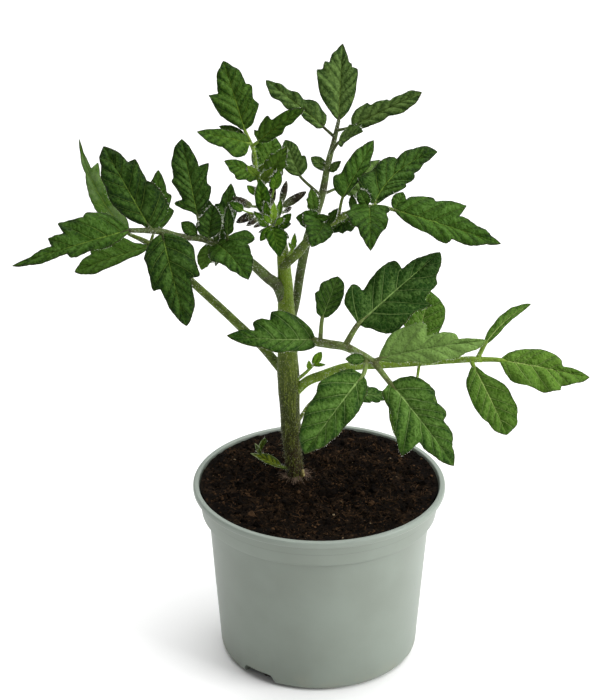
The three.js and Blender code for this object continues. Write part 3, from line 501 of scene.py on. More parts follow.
def strands(name, lines, radii, tones=None):
    """Thin closed threads with three sides, one along each line of points, with a radius at each point."""
    lines = np.asarray(lines, float)
    radii = np.asarray(radii, float)
    count, steps = lines.shape[:2]
    along = np.gradient(lines, axis=1)
    aside = np.cross(along, (0.31, 0.52, 0.79))
    aside /= np.linalg.norm(aside, axis=2, keepdims=True) + 1e-9
    other = np.cross(along, aside)
    other /= np.linalg.norm(other, axis=2, keepdims=True) + 1e-9
    angles = 2 * np.pi * np.arange(3) / 3
    rings = np.cos(angles)[:, None] * aside[:, :, None] + np.sin(angles)[:, None] * other[:, :, None]
    points = lines[:, :, None] + rings * radii[:, :, None, None]
    sides = [
        (3 * k + i, 3 * k + (i + 1) % 3, 3 * k + 3 + (i + 1) % 3, 3 * k + 3 + i)
        for k in range(steps - 1) for i in range(3)
    ]
    top = 3 * (steps - 1)
    shifts = 3 * steps * np.arange(count)[:, None, None]
    faces = (np.array(sides) + shifts).reshape(-1, 4).tolist()
    faces += (np.array([(2, 1, 0), (top, top + 1, top + 2)]) + shifts).reshape(-1, 3).tolist()
    mesh = bpy.data.meshes.new(name)
    mesh.from_pydata((points.reshape(-1, 3) * MM).tolist(), [], faces)
    if tones is not None:
        mesh.attributes.new("tone", "FLOAT", "POINT").data.foreach_set("value", np.repeat(tones, 3 * steps))
    made = bpy.data.objects.new(name, mesh)
    scene.collection.objects.link(made)
    return made


def lying_threads(centres, lengths):
    """Bent lines of five points that lie on the soil round their centres."""
    steps = np.linspace(-0.5, 0.5, 5)
    lines = []
    for centre, length in zip(centres, lengths):
        heading = 2 * math.pi * scatter.random()
        bend = scatter.normal() * 0.6
        angles = heading + bend * steps
        x = centre[0] + length * steps * np.cos(angles)
        y = centre[1] + length * steps * np.sin(angles)
        lift = 0.25 + 0.5 * scatter.random() * (1 - (2 * steps) ** 2)
        z = np.array([soil_height(a, b) for a, b in zip(x, y)]) + lift
        lines.append(np.column_stack([x, y, z]))
    return np.array(lines)


fibre_places = places_on_soil(FIBRES, 51)
fibre_lengths = 1.2 + 6 * scatter.random(FIBRES) ** 2.5
fibre_lines = lying_threads(fibre_places, fibre_lengths)
fibre_radii = scatter.uniform(0.05, 0.14, (FIBRES, 1)) * np.array([0.5, 1, 1.1, 0.9, 0.4])
fibres = strands("fibres", fibre_lines, fibre_radii, 0.45 + 0.54 * clumped(fibre_places))

PEAT_BLACK = paint(7, 4, 2)
PEAT_BROWN = paint(36, 26, 16)
PEAT_RED = paint(84, 62, 42)
SPECK = paint(140, 122, 96)

bed_finish, wire = new_finish("peat")
place = wire.node("TexCoord", {}, {}, output="Object")
damp = place.grain(60, 3)
clumps = place.grain(110, 3).rise(0.4, 0.62)
peat = (place.grain(500, 5).rise(0.4, 0.7) * clumps).colours(PEAT_BLACK, PEAT_BROWN)
peat = (place.grain(900, 3).rise(0.6, 0.72) * clumps * 0.7).colours(peat, PEAT_RED)
feed(
    bed_finish,
    base_color=peat,
    roughness=0.78 + damp * 0.2,
    specular_ior_level=0.05,
    normal=wire.node("Bump", {}, {"Strength": 0.9, "Distance": 0.0006, "Height": place.grain(900, 5)}),
)

crumb_finish, wire = new_finish("peat_crumbs")
place = wire.node("TexCoord", {}, {}, output="Object")
tone = wire.node("Attribute", {"attribute_name": "tone"}, {}, output="Fac")
stops = [(0, PEAT_BLACK), (0.3, PEAT_BLACK), (0.6, PEAT_BROWN), (0.9, PEAT_RED), (0.992, PEAT_RED), (0.998, SPECK)]
feed(
    crumb_finish,
    base_color=(place.grain(1500, 3) * 0.5).colours(wire.node("ValToRGB", {"stops": stops}, {"Fac": tone}), PEAT_BLACK),
    roughness=0.9,
    specular_ior_level=0.05,
    normal=wire.node("Bump", {}, {"Strength": 0.8, "Distance": 0.0003, "Height": place.grain(1800, 3)}),
)

bed.data.materials.append(bed_finish)
smooth(bed, 60)
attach(bed, "root")
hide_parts("soil")
for loose in (crumbs, clods, fibres):
    loose.data.materials.append(crumb_finish)
    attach(loose, "root")


# Main stem
# One soft green stem, thickest at mid height and purplish brown where it enters the compost. It swells a
# little where leaves leave it, and fine white hairs stand out from it all the way up. Thin pale rootlets
# spread over the compost round its foot, beside the dried stub of the other seed leaf.

STEM_POINTS = [
    (-9, 7, 56), (-10.5, 7.5, 76), (-11, 7.9, 84), (-12.4, 7.9, 96.5), (-13.6, 7.9, 114), (-14.7, 7.9, 140),
    (-15.4, 7.9, 166), (-16, 7.9, 184), (-16.6, 7.9, 197), (-18, 7.5, 210), (-20, 7, 219), (-22, 7, 225),
]
STEM_RADII = [2, 3.2, 4, 4.1, 4.6, 5, 4.1, 3.5, 2.9, 2.4, 2, 1.3]
STEM_SIDES = 40
NODES_AT = [112, 132, 141, 165, 186, 197]
NODE_SWELLING = 0.05
STEM_HAIRS = 4200
ROOTLETS = 170
STUB_POINTS = [(-8.6, 6, 87), (-7.6, 4.4, 88.6), (-7.9, 3.9, 91.5)]

growth = np.random.default_rng(23)


def unit(vectors):
    return vectors / (np.linalg.norm(vectors, axis=-1, keepdims=True) + 1e-12)


def smooth_line(points, radii, step=0.8):
    """Evenly close points along a smooth curve through the given ones, with the radius at each."""
    given = np.array(points, float)
    given = np.vstack([2 * given[0] - given[1], given, 2 * given[-1] - given[-2]])
    line, widths = [], []
    for k in range(len(points) - 1):
        a, b, c, d = given[k:k + 4]
        first, middle, last = (math.dist(p, q) ** 0.5 for p, q in ((a, b), (b, c), (c, d)))
        leave = ((b - a) / first - (c - a) / (first + middle) + (c - b) / middle) * middle
        arrive = ((c - b) / middle - (d - b) / (middle + last) + (d - c) / last) * middle
        count = max(2, math.ceil(math.dist(b, c) / step))
        t = np.linspace(0, 1, count, endpoint=False)[:, None]
        line.append(b + leave * t + (3 * (c - b) - 2 * leave - arrive) * t**2 + (2 * (b - c) + leave + arrive) * t**3)
        widths.append(radii[k] + (radii[k + 1] - radii[k]) * (3 * t - 2 * t**2) * t)
    return np.vstack(line + [given[-2:-1]]), np.append(np.vstack(widths), radii[-1])


def tube(name, line, radii, sides, ridge=0.0, ridges=5):
    """A closed round stalk along a line, with rounded ends and, if wanted, low ridges along it."""
    along = unit(np.gradient(line, axis=0))
    across = np.array((0.3, 1, 0.2))
    angles = 2 * np.pi * np.arange(sides + 1) / sides
    ridged = 1 + ridge * np.cos(ridges * angles)
    rings = []
    for centre, ahead, radius in zip(line, along, radii):
        across = unit(across - ahead * (across @ ahead))
        aside = np.cross(ahead, across)
        arms = np.cos(angles)[:, None] * across + np.sin(angles)[:, None] * aside
        rings.append(centre + arms * (radius * ridged)[:, None])
    ends = []
    for ring, centre, outward in ((rings[0], line[0], -along[0] * radii[0]), (rings[-1], line[-1], along[-1] * radii[-1])):
        shoulder = centre + (ring - centre) * 0.75 + outward * 0.35
        tip = np.broadcast_to(centre + outward * 0.5, ring.shape)
        ends.append([shoulder, tip])
    stalk = shaped_grid(name, np.array([ends[0][1], ends[0][0], *rings, ends[1][0], ends[1][1]]))
    weld(stalk)
    return stalk


def weld(piece):
    """Merges vertices that lie at one place, which closes seams and poles."""
    bpy.ops.object.mode_set(mode="EDIT")
    bpy.ops.mesh.select_all(action="SELECT")
    bpy.ops.mesh.remove_doubles(threshold=0.002 * MM)
    bpy.ops.object.mode_set(mode="OBJECT")


def bristles(line, radii, count, longest):
    """Roots, directions and lengths of hairs that stand out all round a stalk."""
    places = growth.integers(0, len(line) - 1, count)
    share = growth.random((count, 1))
    centres = line[places] * (1 - share) + line[places + 1] * share
    along = unit(line[places + 1] - line[places])
    outward = growth.normal(size=(count, 3))
    outward = unit(outward - along * np.sum(outward * along, axis=1, keepdims=True))
    roots = centres + outward * radii[places][:, None] * 0.95
    directions = unit(outward + 0.35 * growth.normal(size=(count, 3)))
    return roots, directions, longest * growth.uniform(0.3, 1, count)


def hair_coat(name, coats, thickness, finish):
    """Fine tapering hairs, each bent at its middle, as one object."""
    roots, directions, lengths = (np.concatenate(part) for part in zip(*coats))
    lengths = lengths[:, None]
    bends = 0.25 * growth.normal(size=roots.shape) * lengths
    lines = np.stack([roots, roots + directions * lengths * 0.5, roots + directions * lengths + bends], axis=1)
    radii = np.full((len(roots), 1), thickness) * np.array([1, 0.7, 0.2])
    coat = strands(name, lines, radii)
    coat.data.materials.append(finish)
    return coat


stem_line, stem_radii = smooth_line(STEM_POINTS, STEM_RADII, 0.9)
swelling = sum(np.exp(-((stem_line[:, 2] - node) / 4.5) ** 2) for node in NODES_AT)
stem_radii = stem_radii * (1 + NODE_SWELLING * swelling)
stem = tube("stem", stem_line, stem_radii, STEM_SIDES, ridge=0.025)

STEM_PURPLE = paint(44, 30, 18)
STEM_OLIVE = paint(46, 56, 4)
STEM_GREEN = paint(94, 119, 20)
STEM_LIGHT = paint(132, 146, 56)

stem_finish, wire = new_finish("stem_skin")
place = wire.node("TexCoord", {}, {}, output="Object")
height = wire.node("SeparateXYZ", {}, {"Vector": place}, output="Z")
streaks = place.stretched((1, 1, 0.12)).grain(900, 3)
blotches = place.stretched((1, 1, 0.5)).grain(160, 4)
level = height + blotches * 0.02
skin = level.rise(0.1, 0.14).colours(STEM_PURPLE, STEM_OLIVE)
skin = level.rise(0.135, 0.2).colours(skin, STEM_GREEN)
skin = (streaks.rise(0.5, 0.75) * 0.4).colours(skin, STEM_LIGHT)
stipple = place.stretched((1, 1, 0.35)).grain(2200, 2)
skin = (stipple.rise(0.56, 0.68) * 0.6).colours(skin, STEM_LIGHT)
skin = ((1 - stipple.rise(0.34, 0.44)) * 0.5).colours(skin, STEM_OLIVE)
skin = (place.grain(700, 3).rise(0.6, 0.75) * 0.35).colours(skin, STEM_PURPLE)
feed(
    stem_finish,
    base_color=skin,
    roughness=0.5 + blotches * 0.2,
    specular_ior_level=0.2,
    normal=wire.node("Bump", {}, {"Strength": 0.8, "Distance": 0.0004, "Height": streaks + stipple}),
)
stem.data.materials.append(stem_finish)
smooth(stem, 60)
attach(stem, "root")
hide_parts("main_stem")

hair_finish, wire = new_finish("plant_hair")
place = wire.node("TexCoord", {}, {}, output="Object")
feed(
    hair_finish,
    base_color=place.grain(200, 1).colours(paint(160, 166, 120), paint(206, 210, 176)),
    roughness=0.55,
)
down_finish, wire = new_finish("white_down")
place = wire.node("TexCoord", {}, {}, output="Object")
feed(
    down_finish,
    base_color=place.grain(200, 1).colours(paint(216, 222, 204), paint(248, 249, 242)),
    roughness=0.6,
)
above_soil = stem_line[:, 2] > SOIL_LEVEL
stem_coat = bristles(stem_line[above_soil], stem_radii[above_soil], STEM_HAIRS, 1.7)
stem_hairs = hair_coat("stem_hairs", [stem_coat], 0.028, hair_finish)
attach(stem_hairs, "root")

angles = growth.uniform(0, 2 * np.pi, ROOTLETS)
headings = np.column_stack([np.cos(angles), np.sin(angles)])
reaches = np.linspace(3.4, 1, 4)[:, None] + np.linspace(0, 1, 4)[:, None] * growth.uniform(3.5, 9, ROOTLETS)
rootlets = []
for heading, reach in zip(headings, reaches.T):
    wander = np.cumsum(growth.normal(size=(4, 2)), axis=0) * 0.3
    x, y = (np.array(STEM_FOOT) + heading * reach[:, None] + wander).T
    level = np.array([soil_height(a, b) for a, b in zip(x, y)])
    rootlets.append(np.column_stack([x, y, level + growth.uniform(0.6, 1.6) * np.array([1.4, 1, 0.6, 0.3])]))
rootlet_radii = np.full((ROOTLETS, 1), 0.065) * np.array([1, 0.9, 0.7, 0.3])
rootlets = strands("rootlets", rootlets, rootlet_radii)
root_finish, wire = new_finish("rootlet_skin")
feed(root_finish, base_color=paint(132, 112, 96), roughness=0.8, specular_ior_level=0.1)
rootlets.data.materials.append(root_finish)
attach(rootlets, "root")

stub_line, stub_radii = smooth_line(STUB_POINTS, [0.9, 0.8, 0.5], 0.5)
stub = tube("seed_leaf_stub", stub_line, stub_radii, 12)
stub_finish, wire = new_finish("dried_stub")
place = wire.node("TexCoord", {}, {}, output="Object")
dried = place.grain(900, 3).rise(0.35, 0.65).colours(paint(112, 96, 44), paint(186, 176, 112))
feed(stub_finish, base_color=dried, roughness=0.7)
stub.data.materials.append(stub_finish)
smooth(stub, 60)
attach(stub, "root")


# Leaf at the back on the right
# A compound leaf: a hairy stalk with leaflets on short stalks of their own. Each leaflet is a thin lobed
# blade, quilted between its veins, with a midrib that stands out below. The stalk is sunk into the stem.

FORWARD = (0, -0.9, 0.43)
SLANTED = (0, -0.8, 0.6)
SKYWARD = (0, -0.65, 0.75)

# Edges shared by small leaflets, as (how far along the leaflet, how far out), in lengths of the leaflet
OVAL = [(0.12, 0.12), (0.35, 0.22), (0.62, 0.22), (0.85, 0.12)]
SPEAR = [(0.15, 0.09), (0.4, 0.15), (0.75, 0.1)]
CUT = [(0.08, 0.14), (0.22, 0.24), (0.38, 0.3), (0.4, 0.2), (0.62, 0.24), (0.63, 0.15), (0.85, 0.09)]
TOOTHED = [(0.1, 0.14), (0.34, 0.28), (0.36, 0.18), (0.6, 0.24), (0.66, 0.16), (0.86, 0.09)]

VEIN_SLANT = 0.6
VEIN_START = 0.3
RIPPLES = 24
RIGHT_RIPPLE_SHIFT = 2
BLADE_THICKNESS = 0.42
LOBE_FULLNESS = 0.18
POINT_FULLNESS = 0.07
LOBE_ROUNDNESS = 0.22
TOOTH_HEIGHT = 0.009
CORNER_SMOOTHING = 3
ROW_STEP = 0.6
COLUMN_STEP = 0.85
QUILTING = 0.72
CRUMPLING = 0.42
CROWN = 0.07
WIDEST_VEIN = 0.22
VEIN_LEAN = 0.12
VEIN_JITTER = 0.014
FULL_LENGTH = 45
VEIN_GAP = 0.17


def row_of(corner):
    """Where the row of a side vein that ends at a corner of the edge leaves the midrib."""
    along, out = corner
    near_base = along / (1 + VEIN_SLANT * out / VEIN_START)
    return near_base if near_base < VEIN_START else along - VEIN_SLANT * out


def form(leaflet, row, out):
    """Points and facings of a leaflet at rows along it and shares of its length out, negative on the left.

    It arches and bows along its length, folds at its midrib, and its rows slant as its side veins do.
    """
    start, end = np.array(leaflet["base"], float), np.array(leaflet["tip"], float)
    arch, bow = leaflet.get("arch", 0.04), leaflet.get("bow", 0)
    fold, wave = leaflet.get("fold", 0.1), leaflet.get("wave", 0.1)
    length = math.dist(start, end)
    ahead = (end - start) / length
    face = np.array(leaflet.get("faces", SLANTED))
    face = unit(face - ahead * (face @ ahead))
    side = np.cross(ahead, face)
    row, out = np.asarray(row, float)[..., None], np.asarray(out, float)[..., None]
    rise = 4 * length * row * (1 - row)
    slope = 4 * (1 - 2 * row)
    along = unit(ahead + face * arch * slope + side * bow * slope)
    across = unit(side - along * np.sum(side * along, axis=-1, keepdims=True))
    normal = np.cross(across, along)
    reach = np.abs(out) * length * leaflet.get("broad", 1)
    ripple = wave * reach * np.sin(RIPPLES * row + np.where(out < 0, 0, RIGHT_RIPPLE_SHIFT))
    slant = VEIN_SLANT * np.minimum(1, row / VEIN_START)
    point = start + ahead * length * row + face * arch * rise + side * bow * rise
    point = point + across * np.sign(out) * reach * math.cos(fold) + normal * (reach * math.sin(fold) + ripple)
    return point + along * slant * np.abs(out) * length, normal


def edge_of(corners, rows, shift):
    """How far out the edge lies at each row: through the corners, full between them, with low teeth."""
    knots = np.array([(0, 0)] + [(row_of(corner), corner[1]) for corner in corners] + [(1, 0)])
    knots[:, 0] = np.maximum.accumulate(knots[:, 0] + 1e-4 * np.arange(len(knots)))
    knots[-1, 0] = max(1, knots[-1, 0])
    place = np.clip(np.searchsorted(knots[:, 0], rows, side="right") - 1, 0, len(knots) - 2)
    start, end = knots[place], knots[place + 1]
    span = end[:, 0] - start[:, 0]
    share = np.clip((rows - start[:, 0]) / span, 0, 1)
    step = end[:, 1] - start[:, 1]
    fullness = np.where(place < len(knots) - 2, LOBE_FULLNESS, POINT_FULLNESS) * span
    full = (fullness + LOBE_ROUNDNESS * np.abs(step)) * share * (1 - share)
    teeth = TOOTH_HEIGHT * np.sin(37 * rows + shift) * np.sin(61 * rows + 2 * shift)
    teeth = teeth * np.minimum(1, np.minimum(rows, 1 - rows) / 0.15)
    out = start[:, 1] + share * step + full
    out = np.maximum(0, out + teeth * np.minimum(1, out / 0.08))
    for _ in range(CORNER_SMOOTHING):
        out[1:-1] = (out[:-2] + 2 * out[1:-1] + out[2:]) / 4
    return out


def vein_rows(corners):
    """The rows of the side veins: one to each lobe, and more where lobes are far apart."""
    outs = [0] + [out for _, out in corners] + [0]
    tips = [row_of(corner) for k, corner in enumerate(corners) if outs[k] <= outs[k + 1] > outs[k + 2]]
    veins = []
    for row in sorted(tips) + [0.9]:
        last = veins[-1] if veins else 0
        extra = int((row - last) / VEIN_GAP)
        veins += [last + (row - last) * (k + 1) / (extra + 1) for k in range(extra)]
        veins.append(row)
    return np.array(veins)


def blade(leaflet, finishes, coats):
    """A leaflet's thin blade, with hairs added to the coats along its edge."""
    length = math.dist(leaflet["base"], leaflet["tip"])
    sides = leaflet.get("left", OVAL), leaflet.get("right", OVAL)
    broad = leaflet.get("broad", 1)
    scale = min(1, max(0.35, length / FULL_LENGTH))
    corner_rows = np.array([row_of(corner) for corners in sides for corner in corners])
    even = np.linspace(0, 1, max(18, round(length / ROW_STEP)))
    gaps = np.abs(even[:, None] - corner_rows).min(axis=1)
    even = even[(gaps > 0.25 / len(even)) | (even == 0) | (even == 1)]
    rows = np.unique(np.concatenate([even, corner_rows]))
    shift = growth.uniform(0, 6)
    edges = [edge_of(corners, rows, shift + k) for k, corners in enumerate(sides)]
    half = max(4, min(12, round(max(edge.max() for edge in edges) * length * broad / COLUMN_STEP)))
    shares = np.linspace(-1, 1, 2 * half + 1)
    outward = np.abs(shares)[None]
    reaches = np.where(shares < 0, edges[0][:, None], edges[1][:, None])
    out = shares * reaches
    points, facings = form(leaflet, rows[:, None] * np.ones_like(out), out)
    ribs = np.abs(out) * length * broad
    veins = [vein_rows(corners) for corners in sides]
    veins = [np.sort(side_veins + VEIN_JITTER * growth.normal(size=len(side_veins))) for side_veins in veins]
    bent_rows = rows[:, None] + VEIN_LEAN * (1 - outward)
    vein_width = scale * WIDEST_VEIN * (1.15 - 0.8 * outward)
    phases, gaps = [], []
    for side_veins in veins:
        ends = np.concatenate([[-0.08], side_veins, [1.15]])
        phases.append(np.interp(bent_rows, ends, np.arange(len(ends))))
        spacing = np.gradient(ends) * length * math.cos(math.atan(VEIN_SLANT))
        gaps.append(np.interp(bent_rows, ends, spacing) / vein_width)
    phase = np.where(shares < 0, *phases)
    between = np.abs(np.sin(np.pi * phase)) ** 0.55
    middle = np.sin(np.pi * np.minimum(1, outward * 0.85 + 0.1))
    small = scale * np.minimum(1, ribs.max(axis=1, keepdims=True) / 4)
    lift = QUILTING * small * between * middle
    lift = lift + CROWN * length * broad * reaches * 4 * outward * (1 - outward)
    lift = lift - 0.3 * small * np.exp(-((ribs / (1.1 * scale)) ** 2))
    lift = lift - 0.3 * small * np.clip((outward - 0.8) / 0.2, 0, 1) ** 2
    crumples = [noise.noise(spot) for spot in (points.reshape(-1, 3) / 2.6 + shift).tolist()]
    lift = lift + CRUMPLING * small * np.reshape(crumples, out.shape) * (1 - 0.7 * outward**4)
    points = points + facings * lift[..., None]
    sheet = shaped_grid("blade", points)
    tone = leaflet.get("tone", growth.uniform(0.2, 0.8))
    rib = ribs / (scale * WIDEST_VEIN * 2 * (1.1 - rows[:, None]))
    rim = reaches * (1 - outward) * length * broad / (0.3 + 0.7 * scale)
    signed = np.broadcast_to(shares, out.shape)
    patterns = {
        "veins": np.stack([phases[0], phases[1], signed], axis=-1),
        "gaps": np.stack([gaps[0], gaps[1], rib], axis=-1),
        "rims": np.stack([rim, np.full(out.shape, tone), rim], axis=-1),
    }
    for name, pattern in patterns.items():
        attribute = sheet.data.attributes.new(name, "FLOAT_VECTOR", "POINT")
        attribute.data.foreach_set("vector", pattern.astype(np.float32).ravel())
    weld(sheet)
    for finish in finishes[::-1] if leaflet.get("turned_over") else finishes:
        sheet.data.materials.append(finish)
    thickness = sheet.modifiers.new("thickness", "SOLIDIFY")
    thickness.thickness = BLADE_THICKNESS * MM
    thickness.offset = 0
    thickness.material_offset = 1
    bpy.ops.object.modifier_apply(modifier=thickness.name)
    for column, inner in ((0, 1), (-1, -2)):
        edge = points[:, column]
        steps = np.linalg.norm(np.diff(edge, axis=0), axis=1)
        count = int(leaflet.get("downy", 1) * steps.sum() / (0.2 if length < 18 else 0.42))
        spots = np.interp(growth.random(count) * steps.sum(), np.cumsum(steps), np.arange(len(steps)))
        spots = spots.astype(int)
        outwards = unit(edge[spots] - points[spots, inner] + 1e-6)
        outwards = unit(outwards + 0.45 * growth.normal(size=outwards.shape))
        longest = 1.25 if length < 18 else 0.75
        coats.append((edge[spots], outwards, growth.uniform(0.25, longest, count)))
    return sheet


def carrier(leaflet, stalk_line, finish, coats):
    """The short stalk of a leaflet, which goes on under its blade as the midrib."""
    base = np.array(leaflet["base"], float)
    length = math.dist(base, leaflet["tip"])
    radius = leaflet.get("stalk_radius", 0.8) * (0.75 if length < 14 else 1)
    start = leaflet.get("carried_from")
    if start is None:
        start = stalk_line[np.linalg.norm(stalk_line - base, axis=1).argmin()]
    rows = np.array([0.12, 0.3, 0.5, 0.72])
    under, normals = form(leaflet, rows, np.zeros(4))
    under = under - normals * 0.55 * radius
    seated = math.dist(start, base) < 2
    points = [start, *under] if seated else [start, base, *under]
    radii = [radius, 0.62 * radius, 0.48 * radius, 0.34 * radius, 0.2 * radius]
    if not seated:
        radii.insert(1, 0.85 * radius)
    line, widths = smooth_line(points, radii, 1.2)
    piece = tube("carrier", line, widths, 8)
    piece.data.materials.append(finish)
    free = max(3, int(len(line) * 0.3))
    coats.append(bristles(line[:free], widths[:free], 4 + int(2.2 * math.dist(start, base)), 0.9))
    return piece


def grown_leaf(name, leaf, finishes, stalk_finish, hairiness=9.0):
    """A whole compound leaf as one object, and its hairs as another."""
    coats = []
    line, widths = smooth_line(leaf["stalk_points"], leaf["stalk_radii"], 0.9)
    stalk = tube("stalk", line, widths, 16, ridge=0.04, ridges=3)
    stalk.data.materials.append(stalk_finish)
    run = np.linalg.norm(np.diff(line, axis=0), axis=1).sum()
    coats.append(bristles(line, widths, int(hairiness * run), 1.3))
    pieces = [stalk]
    for leaflet in leaf["leaflets"]:
        pieces.append(blade(leaflet, finishes, coats))
        pieces.append(carrier(leaflet, line, stalk_finish, coats))
    whole = joined(name, pieces)
    smooth(whole, 50)
    return whole, hair_coat(name + "_hairs", coats, 0.04, down_finish)


# A greyish green laid on the lightest tops of the painted relief as a painted sheen
PAINTED_SHEEN = paint(112, 138, 88)


def blade_patterns(wire, vein_width):
    """The way out from the midrib, the side veins, the painted shading that runs from dark to light between them, the
    way in from the rim, the tone.
    """
    veins = wire.node("Attribute", {"attribute_name": "veins"}, {}, output="Vector")
    gaps = wire.node("Attribute", {"attribute_name": "gaps"}, {}, output="Vector")
    rims = wire.node("Attribute", {"attribute_name": "rims"}, {}, output="Vector")
    left, right, signed = (wire.node("SeparateXYZ", {}, {"Vector": veins}, output=k) for k in range(3))
    left_gap, right_gap, rib = (wire.node("SeparateXYZ", {}, {"Vector": gaps}, output=k) for k in range(3))
    on_right = signed.maths("GREATER_THAN", signed, 0.0)
    phase = left + on_right * (right - left)
    gap = left_gap + on_right * (right_gap - left_gap)
    offset = wire.maths("ABSOLUTE", wire.maths("FRACT", phase + 0.5) - 0.5)
    rim, tone = (wire.node("SeparateXYZ", {}, {"Vector": rims}, output=k) for k in range(2))
    veined = (1 - (offset * gap).rise(0.3 * vein_width, 1.5 * vein_width)) * rim.rise(0.2, 1.5)
    # Painted shade and light between side veins: dark just past each vein, rising to light before the next, as the
    # quilted bulges would be lit
    between = wire.maths("FRACT", phase)
    swell = between.rise(0, 0.6) - between.rise(0.8, 1)
    return rib, veined, swell, rim, tone


def blade_finishes(name, deep, fresh, vein, below, rim_tint, vein_strength, contrast=1.3, sheen_share=0.14, vein_width=1.0):
    """The finishes of a blade's upper and lower sides, with painted light and shade that follows the relief on the
    upper side. A tone above 1 mixes a leaflet toward its vein colour, which paints a silvery sheen on the skyward
    leaflet of the front right leaf.
    """
    top, wire = new_finish(name)
    place = wire.node("TexCoord", {}, {}, output="Object")
    rib, veined, swell, rim, tone = blade_patterns(wire, vein_width)
    ribbed = 1 - rib.rise(0.4 * vein_width, 1.2 * vein_width)
    cells = place.node("TexVoronoi", {"feature": "DISTANCE_TO_EDGE"}, {"Vector": place, "Scale": 520.0})
    wrinkles = place.grain(620, 3)
    fine = place.grain(1300, 3)
    # Painted light and shade that follows the quilted relief, mixed with broad random patches, lighter near the midrib
    # and darker towards the rim. It sets how far each point goes from the deep to the fresh green
    painted_relief_shading = swell * 0.38 + wrinkles.rise(0.34, 0.66) * 0.3 + place.grain(60, 2).rise(0.3, 0.7) * 0.16
    painted_relief_shading = painted_relief_shading + (1 - rib.rise(1, 14)) * 0.15 - (1 - rim.rise(0.3, 3)) * 0.2
    leaf = ((painted_relief_shading - 0.45) * contrast + tone * 0.5 + 0.16).colours(deep, fresh)
    # Painted sheen on the lightest parts of the relief
    leaf = (painted_relief_shading.rise(0.5, 0.95) * sheen_share).colours(leaf, PAINTED_SHEEN)
    # Above a tone of 1, a mix toward the vein colour; on the skyward leaflet of the front right leaf this is a painted
    # silvery sheen
    leaf = ((tone - 1) * 0.5).colours(leaf, vein)
    leaf = (fine.rise(0.5, 0.75) * 0.3).colours(leaf, deep)
    leaf = ((1 - cells.rise(0.0, 0.1)) * 0.12 * vein_strength).colours(leaf, vein)
    leaf = (veined * 0.5 * vein_strength).colours(leaf, vein)
    leaf = (ribbed * vein_strength).colours(leaf, vein)
    edge = (1 - rim.rise(0.15, 0.6)) * place.grain(120, 2).rise(0.25, 0.5)
    leaf = (edge * (0.7 - (tone - 1).larger(0) * 0.6)).colours(leaf, rim_tint)
    relief = wrinkles + cells.rise(0.0, 0.4) * 0.3 - veined * 0.5 - ribbed * 0.3 + fine * 0.2
    feed(
        top,
        base_color=leaf,
        roughness=0.46 + wrinkles * 0.16,
        specular_ior_level=0.07,
        normal=wire.node("Bump", {}, {"Strength": 0.9, "Distance": 0.0009, "Height": relief}),
    )
    bottom, wire = new_finish(name + "_below")
    place = wire.node("TexCoord", {}, {}, output="Object")
    rib, veined, swell, rim, tone = blade_patterns(wire, 1)
    veins = (0.9 - 0.9 * rib.rise(0.4, 1.2)).larger(veined * 0.7)
    cells = place.node("TexVoronoi", {"feature": "DISTANCE_TO_EDGE"}, {"Vector": place, "Scale": 520.0})
    net = 1 - cells.rise(0.0, 0.14)
    leaf = place.grain(140, 4).rise(0.36, 0.64).colours(below, fresh)
    leaf = (net * 0.25).colours(leaf, vein)
    leaf = veins.colours(leaf, vein)
    leaf = ((1 - rim.rise(0.12, 0.5)) * 0.6).colours(leaf, rim_tint)
    feed(
        bottom,
        base_color=leaf,
        roughness=0.68,
        specular_ior_level=0.14,
        normal=wire.node("Bump", {}, {"Strength": 0.7, "Distance": 0.0004, "Height": veins + net * 0.4}),
    )
    return top, bottom


def stalk_skin(name, green, dark, light):
    """The streaked, downy skin of a leaf stalk."""
    skin, wire = new_finish(name)
    place = wire.node("TexCoord", {}, {}, output="Object")
    blotches = place.grain(220, 3)
    flecks = place.grain(1300, 2)
    colour = blotches.rise(0.35, 0.7).colours(green, dark)
    colour = (flecks.rise(0.55, 0.7) * 0.5).colours(colour, light)
    feed(
        skin,
        base_color=colour,
        roughness=0.5 + blotches * 0.2,
        specular_ior_level=0.2,
        normal=wire.node("Bump", {}, {"Strength": 0.4, "Distance": 0.0002, "Height": flecks}),
    )
    return skin


